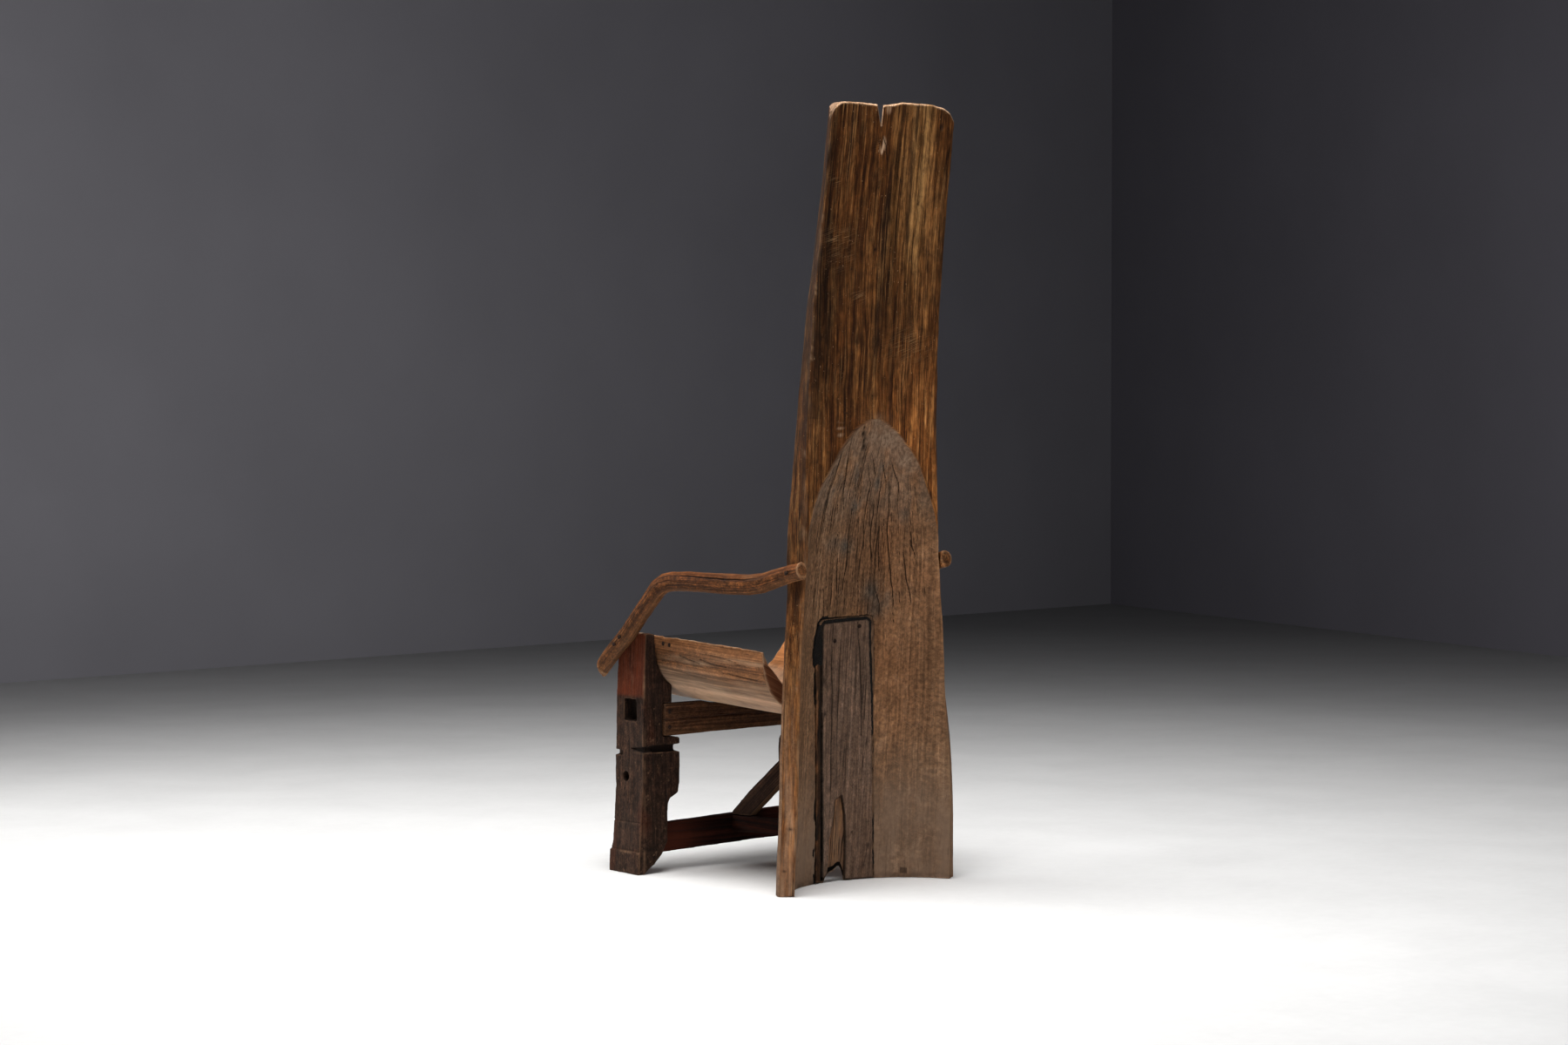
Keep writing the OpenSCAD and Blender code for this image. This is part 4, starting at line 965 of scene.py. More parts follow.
    # a light worn splinter down the left foot's corner
    spl = np.exp(-((X - (0.198 + (Z - 0.0) * 0.0)) / 0.0050) ** 2) * sstep(0.0, 0.02, Z) * sstep(0.22, 0.17, Z)
    chip = np.maximum(chip, 0.30 * spl * tb)
    dtar = dr.reshape(K, C)
    tarw = np.interp(Z, [0.0, 0.16, 0.30, 0.38, 0.44, 0.56], [0.0075, 0.0080, 0.0050, 0.0065, 0.009, 0.010]) * np.where(X > 0.06, 1.35, np.where(X < -0.05, 0.12, 0.42))
    tar = np.clip(1.0 - dtar / tarw, 0, 1) * (H > 0.2)
    tar = np.where(dtar < -0.0005, np.where((dtar > -0.012), 0.9, 0.0), tar)
    tar = np.where((Z < 0.45) & (X < -0.03), tar * 0.35, tar)
    tar = np.where((Z < 0.45) & (X > 0.03) & (dtar > 0), tar * np.clip(0.62 + 1.1 * fbm(R, (34, 0, 20), 99, 3), 0, 1).reshape(K, C), tar)
    rot = np.exp(-((dtar - 0.004) / 0.013) ** 2) * (X > 0.045) * (dtar > 0) * (H > 0.2) * sstep(0.24, 0.14, Z)
    tar = np.maximum(tar, 0.62 * rot * np.clip(0.5 + 1.2 * fbm(R, (120, 0, 46), 113, 3), 0, 1).reshape(K, C))
    olive = (0.35 * sstep(0.03, -0.05, X) + 0.65 * np.exp(-((X + 0.045) / 0.042) ** 2)) * sstep(1.08, 1.38, Z) * 0.95
    streaks = 0.5 + 0.5 * fbm(R, (32, 0, 1.1), 72, 2).reshape(K, C)
    olive = np.clip(olive * (0.35 + streaks) + 0.25 * sstep(0.55, 0.8, streaks), 0, 1)
    orange = np.exp(-((X - 0.104) / 0.022) ** 2 - ((Z - 1.125) / 0.055) ** 2) * 0.9
    orange = np.maximum(orange, 0.8 * gouge.reshape(K, C) * 1.2)
    orange = np.maximum(orange, 0.55 * (H < 0.2) * sstep(1.02, 0.90, Z))
    pale = np.clip(0.85 * sstep(0.34, 0.05, Z), 0, 1) * (H > 0.2)
    pale = np.maximum(pale, 0.35 * np.exp(-((X + 0.03) / 0.05) ** 2 - ((Z - 0.90) / 0.035) ** 2))
    # painted shade: a small dark patch where the foot has a notch
    pocket = ((np.abs(X + 0.149) < 0.0055) & (Z > 0.007) & (Z < 0.021) & (H > 0.2)) * 1.0
    # darker along the hollow's very bottom edge
    foot_darkening = sstep(0.016, 0.004, Z) * np.clip(0.3 + 0.9 * fbm(R, (60, 0, 60), 83, 3), 0, 1).reshape(K, C) * (H > 0.2)
    warmh = np.clip(0.25 + 0.75 * np.exp(-((X + 0.08) / 0.10) ** 2) * sstep(0.15, 0.45, Z), 0, 1)
    coldh = np.clip(0.50 * sstep(0.70, 0.80, Z) + 0.35 * sstep(0.30, 0.05, Z), 0, 1)
    for gx, gz, rx, rz, a in ((25, 839, 16, 26, .9), (11, 777, 20, 24, .8), (70, 804, 26, 22, .7), (-47, 850, 26, 24, .9),
                              (-36, 821, 16, 24, .8), (27, 694, 20, 18, .8), (-48, 597, 22, 26, .7), (-69, 579, 26, 24, .7),
                              (-107, 758, 22, 22, .5), (-60, 560, 22, 20, .6), (60, 700, 30, 20, .4)):
        coldh = np.maximum(coldh, min(1.0, 1.3 * a) * np.exp(-((X - gx / 1000) / (rx / 1000)) ** 2 - ((Z - gz / 1000) / (rz / 1000)) ** 2))
    cracks_and_shadow_line = np.maximum(crk.reshape(K, C), 0)
    # the painted shadow line beside the right rim goes into the crack mask
    cracks_and_shadow_line = np.maximum(cracks_and_shadow_line, 0.50 * rdark)
    # where the hollow's wood has dried into a fan of cracks
    uh = (X - hb[:, None]) / np.maximum(ha - hb, 1e-3)[:, None]
    fan = (H > 0.2) * sstep(0.50, 0.62, Z) * sstep(0.935, 0.90, Z) * sstep(0.16, 0.34, uh) * sstep(0.985, 0.93, uh)
    fan = fan * np.clip(0.55 + 0.45 * sstep(0.60, 0.72, Z), 0, 1)
    low_fan = (H > 0.2) * sstep(0.55, 0.45, Z) * 0.0
    fan = np.clip(np.maximum(fan, low_fan), 0, 1)
    left_lines = (H > 0.2) * sstep(0.80, 0.90, uh) * sstep(0.62, 0.74, Z) * sstep(0.93, 0.90, Z)
    fan = np.maximum(fan, 0.9 * left_lines)
    # slow changes of tone: darker towards the left, more golden to the right
    side_t = sstep(0.07, -0.09, X)
    t_up = 0.95 + 0.20 * side_t - 0.18 * sstep(-0.10, -0.14, X)
    t_mid = 0.84 + 0.20 * side_t + 0.75 * sstep(1.12, 1.00, Z) * side_t - 0.10 * sstep(-0.11, -0.15, X) * (Z > 1.1)
    t_mid = t_mid - 0.20 * sstep(0.05, 0.10, X) * sstep(1.04, 1.12, Z)
    tone = np.where(Z > 1.25, t_mid + (t_up - t_mid) * sstep(1.25, 1.42, Z), t_mid)
    blot = fbm(R, (16, 0, 4.5), 87, 3).reshape(K, C)
    tone = tone * (1 + 0.30 * blot) * (1 - 0.25 * sstep(0.12, 0.165, X) * (Z > 0.95))
    tone_h = 1.30 + 0.22 * sstep(0.12, 0.17, X) + 0.48 * sstep(0.72, 0.82, Z) + 0.22 * fbm(R, (17, 0, 11), 88, 3).reshape(K, C)
    tone_h = tone_h + 0.42 * np.exp(-((X - 0.055) / 0.034) ** 2 - ((Z - 0.705) / 0.045) ** 2) + 0.28 * sstep(0.11, 0.03, Z) \
        + 0.50 * np.exp(-((X - 0.112) / 0.026) ** 2) * sstep(0.26, 0.14, Z)
    tone = np.clip(np.where(H > 0.2, tone_h, tone) * 0.5, 0, 1)
    cavm = np.maximum(cav.reshape(K, C), np.maximum(0.55 * ldark, 0.5 * knot.reshape(K, C)))
    cavm = np.maximum(cavm, np.maximum(0.75 * pocket, 0.8 * foot_darkening))
    edge = np.maximum(edge, 0.5 * rim * rimn)
    # the exposed wood in the broken out part of the board: splintered brown
    inrec = (dtar < -0.004)
    holm2 = holm.reshape(K, C)
    holm2 = np.where(inrec & (H > 0.2), 0.55, holm2)
    fan = np.where(inrec & (H > 0.2), 1.0, fan)
    orange = np.where(inrec & (H > 0.2), 0.55, orange)
    splint = 0.0016 * (1 + fbm(R, (300, 0, 14), 73, 3)).reshape(K, C)
    Yr = np.where(inrec & (H > 0.2), Yr - splint * 0.0 + splint * 0.5, Yr)

    # ---------------- assemble the rear piece: rear sheet, sides, end caps
    def remap(z, x, y):
        zt, zb = ztop(x, y), zbot(x, y)
        z = np.where(z > 1.46, 1.46 + (z - 1.46) / (1.583 - 1.46) * (zt - 1.46), z)
        return np.where(z < 0.07, zb + (0.07 - zb) * z / 0.07, z)

    nS = ns
    SL, SR = [], []
    for k in range(1, nS + 1):
        f = k / nS
        bulge = 0.0012 * math.sin(math.pi * f)
        for S, ex, fx in ((SL, X[:, 0], fxl), (SR, X[:, -1], fxr)):
            y0 = Yr[:, 0] if S is SL else Yr[:, -1]
            x = ex + (fx - ex) * f
            y = y0 + (fy - y0) * f
            pp = np.stack([x, y, zr], 1)
            inw = (0.0003 + 0.0005 * (1 + fbm(pp, (200, 200, 9), 74, 3))) if k < nS else np.zeros(K)
            sgn = -1 if S is SL else 1
            S.append((x + sgn * inw, y))
    rings_x = np.concatenate([np.stack([s[0] for s in SL[::-1]], 1), X, np.stack([s[0] for s in SR], 1)], 1)
    rings_y = np.concatenate([np.stack([s[1] for s in SL[::-1]], 1), Yr, np.stack([s[1] for s in SR], 1)], 1)
    rings_z = np.repeat(zr[:, None], rings_x.shape[1], 1)
    W = rings_x.shape[1]
    pz = remap(rings_z.ravel(), rings_x.ravel(), rings_y.ravel()).reshape(K, W)
    for _ in range(3):
        ry = rings_y + y_rear(pz) - y_rear(rings_z)
        pz = remap(rings_z.ravel(), rings_x.ravel(), ry.ravel()).reshape(K, W)
    V = np.stack([rings_x.ravel(), ry.ravel() + YS, pz.ravel()], 1)
    i = np.arange(K - 1)[:, None] * W + np.arange(W - 1)[None, :]
    F = np.stack([i, i + 1, i + 1 + W, i + W], 2).reshape(-1, 4)
    F = F[:, ::-1]

    def wide(a, fill=0.0, side=None):
        a = np.asarray(a, float).reshape(K, C)
        l = np.full((K, nS), fill) if side is None else np.repeat(side[0][:, None], nS, 1)
        r = np.full((K, nS), fill) if side is None else np.repeat(side[1][:, None], nS, 1)
        return np.concatenate([l, a, r], 1)

    one = np.ones(K)
    A = {"fan": wide(fan), "tone": wide(tone), "pale": wide(pale), "scr": wide(scr), "hol": wide(holm2), "edge": wide(edge), "rimlight": wide(rimlight), "chip": wide(chip), "tar": wide(tar),
         "olive": wide(olive, 0.1), "warmh": wide(warmh), "coldh": wide(coldh), "crk": wide(cracks_and_shadow_line), "cav": wide(cavm)}
    # the side strips: paler low down, with dings, a knot and a long pale splinter at the foot
    P0 = np.stack([np.zeros(K), np.zeros(K), zr], 1)
    sw = np.clip(0.5 + 0.9 * fbm(P0, (1, 1, 9), 84, 3), 0, 1)
    A["pale"][:, :nS] = (sstep(0.42, 0.10, zr) * 0.8 * (0.4 + 0.6 * sw))[:, None]
    A["pale"][:, -nS:] = (sstep(0.42, 0.10, zr) * 0.5)[:, None]
    fr = np.arange(nS)[None, :] / nS
    stone = np.interp(zr, [0, 0.2, 0.45, 0.60, 0.85, 1.0, 1.6], [1.80, 1.66, 1.02, 0.80, 0.58, 0.60, 0.70])
    A["tone"][:, :nS] = (0.5 * stone * (1 + 0.22 * fbm(P0, (1, 1, 7), 89, 3)))[:, None]
    A["tone"][:, -nS:] = (0.5 * stone)[:, None]
    Zs = np.repeat(zr[:, None], nS, 1)
    A["chip"][:, :nS] = np.maximum(0.66 * np.exp(-((fr - 0.62 - 0.9 * (0.20 - Zs)) / 0.10) ** 2) * bumpf(Zs, 0.150, 0.036)
                                   * np.clip(0.6 + fbm(np.stack([fr.repeat(K, 0).ravel() * 0.2, Zs.ravel() * 0, Zs.ravel()], 1), (40, 1, 40), 90, 3).reshape(K, nS), 0, 1),
                                   0.30 * (Zs < 1.5) * np.exp(-((fr - 0.95) / 0.2) ** 2) * np.clip(fbm(np.stack([Zs.ravel(), Zs.ravel() * 0, Zs.ravel()], 1), (1, 1, 60), 85, 3).reshape(K, nS) * 1.6 - 0.2, 0, 1))
    A["cav"][:, :nS] = np.maximum(A["cav"][:, :nS], np.exp(-((fr - 0.60) / 0.16) ** 2) * bumpf(Zs, 0.136, 0.0035))
    A["cav"][:, :nS] = np.maximum(A["cav"][:, :nS], np.exp(-((fr - 0.30) / 0.16) ** 2) * bumpf(Zs, 0.052, 0.003))
    A["crk"][:, :nS] = np.exp(-((fr - 0.42 - 0.35 * (Zs - 0.35) - 0.05 * np.sin(Zs * 60)) / 0.08) ** 2) * sstep(0.28, 0.33, Zs) * sstep(0.47, 0.42, Zs) * 0.42
    sideor = 0.12 + sstep(1.10, 0.80, zr) * 0.36
    A["orange"] = wide(orange, 0, (sideor, sideor * 0.8))
    sdark = 0.35 * sstep(0.90, 1.05, zr)
    A["cav"][:, :nS] = np.maximum(A["cav"][:, :nS], sdark[:, None])
    # the low part of the side strip is paler and greyer, like the hollow
    sst = fbm(np.stack([(fr * 0.033 + 0.2 * (Zs - 0.3) * 0.06).ravel(), Zs.ravel() * 0, Zs.ravel()], 1), (150, 1, 6.5), 111, 3).reshape(K, nS)
    A["hol"][:, :nS] = sstep(0.55, 0.25, zr)[:, None] * np.clip(0.50 + 1.3 * sst, 0.0, 0.95)
    A["tone"][:, :nS] = A["tone"][:, :nS] * (1 + 0.55 * sst)
    A["hol"][:, -nS:] = (sstep(0.55, 0.25, zr) * 0.75)[:, None]
    A["warmh"][:, :nS] = 0.6
    fe = np.exp(-((np.arange(nS)) / 0.9) ** 2)[None, :]
    A["edge"][:, :nS] = fe * 0.35 * (zr < 1.50)[:, None]
    A["edge"][:, -nS:] = fe[:, ::-1] * 0.35
    # end caps
    nc = nS
    vs = [V]
    faces = [F]
    base = len(V)
    capattrs = {k: [a.ravel()] for k, a in A.items()}

    def front_edge(kz):
        """The front sheet's own top or bottom edge as a polyline, sampled at the rear columns' share of the way."""
        fx, fyy = FX[kz], FY[kz]
        s = np.concatenate([[0], np.cumsum(np.hypot(np.diff(fx), np.diff(fyy)))])
        q = np.linspace(0, 1, C) * s[-1]
        return np.interp(q, s, fx), np.interp(q, s, fyy)

    for kz, up in ((K - 1, True), (0, False)):
        ex, ey = front_edge(kz)
        row0 = kz * W + nS
        grid = np.empty((C, nc + 1), np.int64)
        grid[:, 0] = row0 + np.arange(C)
        grid[0, :] = kz * W + nS - np.arange(nc + 1)
        grid[-1, :] = kz * W + nS + C - 1 + np.arange(nc + 1)
        newp = []
        for c in range(1, C - 1):
            for k in range(1, nc + 1):
                f = k / nc
                newp.append((X[kz, c] * (1 - f) + ex[c] * f, Yr[kz, c] * (1 - f) + ey[c] * f))
        newp = np.array(newp)
        grid[1:-1, 1:] = base + np.arange(len(newp)).reshape(C - 2, nc)
        zf = ztop if up else zbot
        y0 = newp[:, 1].copy()
        zz2 = zf(newp[:, 0], y0)
        for _ in range(3):
            newp[:, 1] = y0 + y_rear(zz2) - y_rear(zr[kz])
            zz2 = zf(newp[:, 0], newp[:, 1])
        if up:
            inner = np.tile(np.sin(np.linspace(0, 1, nc + 1)[1:] * math.pi), C - 2)
            zz2 = zz2 - 0.0012 * inner * (1 + fbm(np.stack([newp[:, 0], newp[:, 1], zz2], 1), (260, 260, 1), 75, 3))
        vs.append(np.stack([newp[:, 0], newp[:, 1] + YS, zz2], 1))
        base += len(newp)
        a, b = grid[:-1, :-1].ravel(), grid[1:, :-1].ravel()
        c2, d2 = grid[1:, 1:].ravel(), grid[:-1, 1:].ravel()
        q = np.stack([a, d2, c2, b], 1) if up else np.stack([a, b, c2, d2], 1)
        faces.append(q[:, ::-1] if up else q[:, ::-1])
        for k in capattrs:
            val = 0.0
            if k == "chip":
                val = 0.16 if up else 0.0
            if k == "hol":
                val = 1.0
            if k == "tone":
                val = 0.50
            if k in ("coldh", "pale"):
                val = 0.3
            arr = np.full(len(newp), val)
            if k == "chip" and up:
                arr = arr * np.clip(0.4 + 0.8 * fbm(np.stack([newp[:, 0], newp[:, 1], zz2], 1), (80, 80, 1), 76, 3), 0, 1)
            capattrs[k].append(arr)
    V = np.concatenate(vs)
    F = np.concatenate(faces)
    at = {k: np.clip(np.concatenate(a), 0, 1) for k, a in capattrs.items()}
    gc = V.copy()
    # the grain leans a little and swirls round the knots
    gx = V[:, 0] + 0.010 * fbm(V, (2, 0, 2.2), 78, 2)
    for kx, kz, r in ((46, 1430, 16), (64, 1104, 15), (23, 1104, 12), (33, 1288, 9), (20, 909, 20), (14, 997, 12)):
        dx, dz = V[:, 0] - kx / 1000, V[:, 2] - kz / 1000
        w = np.exp(-(dx * dx + (dz * 0.55) ** 2) / (r / 1000) ** 2)
        gx = gx - 0.55 * w * dx
    # fibres run towards the hollow's foot, spreading with it
    spread = np.interp(V[:, 2], [0, 0.5, 0.70, 0.80, 0.88, 0.95], [0.86, 0.96, 1.0, 1.06, 1.22, 1.5])
    gx = gx + 0.0016 * fbm(V, (4, 0, 9), 94, 2) + 0.0006 * fbm(V, (22, 0, 42), 95, 2)
    inh = at["hol"] > 0.3
    isside = np.zeros(len(V), bool)
    ring = np.zeros((K, W), bool)
    ring[:, :nS] = True
    ring[:, -nS:] = True
    isside[:K * W] = ring.ravel()
    isside[K * W:] = True
    inh = inh & ~isside
    gx = gx + inh * (0.0015 * fbm(V, (9, 0, 34), 92, 2) + 0.0006 * fbm(V, (30, 0, 120), 93, 2))
    gc[:, 0] = gx * np.where(inh, spread, 1.0)
    # depth under the rear face, so that the fibres run straight along the leaning plank
    gc[:, 1] = (V[:, 1] - YS - y_rear(V[:, 2])) * np.where(inh, 0.10, 1.0)
    at["gc"] = gc
    ob = make("back_plank_rear", V, F, ["back_plank"], MAT_PLANK, at)

    # ---------------- front sheet
    Zf = np.repeat(zr[:, None], nf + 1, 1)
    pz = remap(Zf.ravel(), FX.ravel(), FY.ravel())
    for _ in range(3):
        fy2 = FY.ravel() + y_rear(pz) - y_rear(Zf.ravel())
        pz = remap(Zf.ravel(), FX.ravel(), fy2)
    # its two outer columns are the side strips' last ones
    Vf = np.stack([FX.ravel(), fy2 + YS, pz], 1)
    i = np.arange(K - 1)[:, None] * (nf + 1) + np.arange(nf)[None, :]
    Ff = np.stack([i, i + 1, i + 2 + nf, i + 1 + nf], 2).reshape(-1, 4)
    gc = Vf.copy()
    gc[:, 0] += 0.010 * fbm(Vf, (2, 2, 2.2), 79, 2)
    gc[:, 1] = -0.11 + 0.02 * (FY.ravel() - FY.ravel().mean())
    cen = np.exp(-((FX.ravel()) / 0.13) ** 2)
    polish = cen * sstep(0.52, 0.62, Zf.ravel()) * sstep(1.25, 1.05, Zf.ravel())
    atf = {"fan": np.full(len(Vf), 0.15), "tone": np.full(len(Vf), 0.55), "gc": gc, "hol": np.clip(sstep(0.60, 0.30, Zf.ravel()) * 0.8, 0, 1), "warmh": np.full(len(Vf), 0.5),
           "orange": np.clip(0.25 + 0.5 * polish, 0, 1), "coldh": 0.3 * sstep(0.5, 0.1, Zf.ravel()), "pale": 0.4 * sstep(0.3, 0.02, Zf.ravel()),
           "olive": np.full(len(Vf), 0.15), "edge": np.repeat(np.exp(-(np.minimum(np.arange(nf + 1), nf - np.arange(nf + 1)) / 1.2) ** 2)[None, :], K, 0).ravel() * 0.6,
           # the front's pale band along the top is worn arris and painted highlight
           "chip": 0.6 * sstep(0.006, 0.001, ztop(FX.ravel(), FY.ravel()) - Zf.ravel())}
    make("back_plank_front", Vf, Ff, [], MAT_PLANK, atf)
    return ob


build_plank()


# --------------------------------------------------- board, filler and pitch
def hollow_y_at(x, z):
    a, b = x_left(z) - 0.002, x_right(z) + 0.002
    u = np.clip(2 * (x - a) / (b - a) - 1, -1, 1)
    return y_rear(z) - hollow_d(z) * (1 - np.abs(u) ** 2.6) ** 0.9


def build_board():
    ob, p, nr, conv, lap = remeshed("inset_board", "inset_board_piece", 0.0019, 3, 0.45)
    x, z = p[:, 0], p[:, 2]
    face = sstep(0.2, 0.7, nr[:, 1])
    d = 0.0003 + 0.0005 * (1 + fbm(p, (260, 1, 7), 101, 3)) + 0.0007 * (1 + fbm(p, (50, 1, 3), 102, 3))
    crk = np.zeros(len(x))
    for w, pts in ((1.2, [(44, 538), (41, 457), (33, 386), (30, 296), (26, 206), (25, 165)]), (1.1, [(-21, 537), (-35, 454), (-44, 356), (-46, 300)]),
                   (.8, [(20, 540), (18, 470), (17, 400), (16, 320), (12, 240), (12, 175)]),
                   (.55, [(-18, 541), (-22, 480), (-26, 420), (-30, 340)]), (.5, [(50, 430), (46, 330), (40, 220), (36, 120)]),
                   (.45, [(-38, 520), (-44, 430), (-50, 330), (-58, 200)]), (.4, [(36, 500), (34, 430)]),
                   (.5, [(-8, 400), (-14, 300), (-18, 200)]), (.45, [(-44, 240), (-52, 120), (-58, 10)]),
                   (.5, [(4, 330), (2, 240)]), (.4, [(58, 520), (55, 450), (50, 380)]), (.4, [(-66, 180), (-74, 60)])):
        pts = [(a / 1000, b / 1000) for a, b in pts]
        dd, al = polyline_d(x + 0.0018 * fbm(p, (1, 1, 40), 103, 3), z, pts)
        crk = np.maximum(crk, w * np.clip(1 - dd / (0.0026 * np.sin(np.clip(al, .05, .97) * math.pi) ** .5), 0, 1))
    cav = np.zeros(len(x))
    for hx, hz, r in ((-37, 100, 2.6), (15, 88, 2.8), (37, 500, 0.1)):
        q = np.hypot(x - hx / 1000, (z - hz / 1000) * 0.8) * 1000 / r
        cav = np.maximum(cav, np.clip(1.3 - q, 0, 1))
    d = (d + crk * 0.0020 + cav * 0.003) * face
    p2 = p - nr * d[:, None]
    setco(ob, p2)
    stain = np.exp(-((x - 0.062) / 0.008) ** 2 - ((z - 0.418) / 0.010) ** 2)
    din = poly_d(x, z, INSET)
    ring = np.clip(1 + din / 0.0016, 0, 1) * sstep(0.38, 0.46, z)
    ma = np.clip(np.maximum(stain, ring * 0.9), 0, 1)
    # painted shadow: the board's left edge faces and a strip along its left edge are made near black, as the crevice
    # beside the filler
    ma = np.maximum(ma, sstep(0.30, 0.60, nr[:, 0]) * (x > 0.02))
    ma = np.maximum(ma, np.clip(1.2 + poly_d(x, z, INSET) / 0.0016, 0, 1) * (x > 0.02 + 0.06 * z) * (0.5 + 0.5 * np.clip(0.5 + fbm(p, (1, 1, 60), 109, 3), 0, 1)))
    gc = p.copy()
    gc[:, 1] = p[:, 1] * 0.1
    # the broken edges are dark: painted shadow on the board's broken side faces, put into 'cav'
    broken = sstep(0.8, 0.4, nr[:, 1]) * (z < 0.19) * (x > -0.04) * (x < 0.03)
    cav = np.maximum(cav, 0.9 * broken)
    gc[:, 0] = x + 0.006 * fbm(p, (3, 1, 3), 104, 2) + 0.0012 * np.sign(x - 0.037) * np.exp(-((x - .037) ** 2 + (z - .5) ** 2) / 0.0001)
    edge = np.clip(conv * 1.2 - 0.15, 0, 1)
    finish_piece(ob, ["inset_board"], MAT_BOARD,
                 {"gc": gc, "edge": edge, "cav": cav, "crk": np.clip(crk * 1.3 - 0.15, 0, 1) * face, "ma": ma,
                  "mb": np.clip(0.30 * sstep(0.36, 0.50, z) + 0.35 * sstep(0.24, 0.12, z) * (x < 0.0), 0, 1)})

    ob, p, nr, conv, lap = remeshed("filler_strip", "filler_strip_piece", 0.0013, 2, 0.45)
    d = 0.0003 + 0.0007 * (1 + fbm(p, (150, 1, 30), 105, 3))
    setco(ob, p - nr * (d * sstep(0.2, 0.7, nr[:, 1]))[:, None])
    din = poly_d(p[:, 0], p[:, 2], FILLER)
    left = np.clip(1 + din / 0.003, 0, 1)
    n = 0.5 + 0.5 * fbm(p, (60, 1, 26), 106, 3)
    low = sstep(0.34, 0.20, p[:, 2])
    fx = np.interp(p[:, 2] * 1000, [3, 209, 448], [41, 56.4, 74.3]) / 1000
    # painted shadow: 'inner' makes the filler near black along its edge by the board, as the crevice between them
    inner = sstep(0.0075, 0.0045, p[:, 0] - fx + 0.0045 * fbm(p, (60, 1, 26), 112, 3))
    finish_piece(ob, ["filler_strip"], MAT_FILL,
                 {"gc": p * np.array([1, 0.1, 1]), "edge": np.clip(conv - .1, 0, 1), "ma": np.clip(left * sstep(.36, .58, n) * 1.3 + low * sstep(.28, .50, n) + 0.9 * sstep(.46, .60, n) + inner, 0, 1)})

    ob, p, nr, conv, lap = remeshed("pitch_caulking", "pitch_caulking_piece", 0.0014, 2, 0.5)
    d = 0.0012 * (1 + fbm(p, (90, 90, 70), 107, 4)) * sstep(0.2, 0.7, nr[:, 1])
    setco(ob, p - nr * d[:, None] * 0.8)
    din = poly_d(p[:, 0], p[:, 2], INSET)
    rag = 0.0016 * fbm(p, (60, 1, 60), 108, 3)
    bare = sstep(0.0034, 0.0052, din + rag) * (p[:, 0] < -0.045)
    bare = np.maximum(bare, sstep(0.0068, 0.0082, din + rag) * (p[:, 2] > 0.535))
    bare = np.maximum(bare, (0.42 + 0.5 * fbm(p, (40, 1, 40), 110, 2)) * sstep(0.36, 0.30, p[:, 2]) * (p[:, 0] < -0.045))
    finish_piece(ob, ["pitch_caulking"], MAT_TAR, {"gc": p.copy(), "bare": bare})


build_board()


# ------------------------------------------------------------------ the arms
ARM_PATH = [
    (195, 21, 651), (198, -16, 643), (204, -53, 632), (211, -86, 622), (219, -120, 617), (232, -186, 617),
    (248, -268, 619), (257, -325, 618), (262, -350, 613), (265, -368, 603), (267, -385, 585), (269, -426, 546),
    (270, -469, 504), (271, -510, 473), (271, -540, 449), (271, -565, 428)]


def arm_path(up):
    out = []
    for x, y, z in ARM_PATH:
        w = min(1.0, max(0.0, (400 + y) / 400))
        out.append(((x - 0.9 * up * w) / 1000, y / 1000 + YS, (z + up * w) / 1000))
    return np.array(out)


def path_coords(p, path):
    """Grain coordinates along a bent branch: across, up, and the length along it."""
    seg = np.diff(path, axis=0)
    ln = np.linalg.norm(seg, axis=1)
    s0 = np.concatenate([[0], np.cumsum(ln)])
    best = np.full(len(p), 9.0)
    s = np.zeros(len(p))
    off = np.zeros((len(p), 2))
    for i in range(len(seg)):
        t = np.clip(((p - path[i]) @ seg[i]) / ln[i] ** 2, 0, 1)
        v = p - (path[i] + t[:, None] * seg[i])
        d = np.linalg.norm(v, axis=1)
        m = d < best
        best = np.where(m, d, best)
        s = np.where(m, s0[i] + t * ln[i], s)
        tn = seg[i] / ln[i]
        a = np.array([1.0, 0, 0]) - tn * tn[0]
        a /= np.linalg.norm(a)
        b = np.cross(tn, a)
        off[m, 0] = (v[m] @ a)
        off[m, 1] = (v[m] @ b)
    return np.column_stack([off, s])


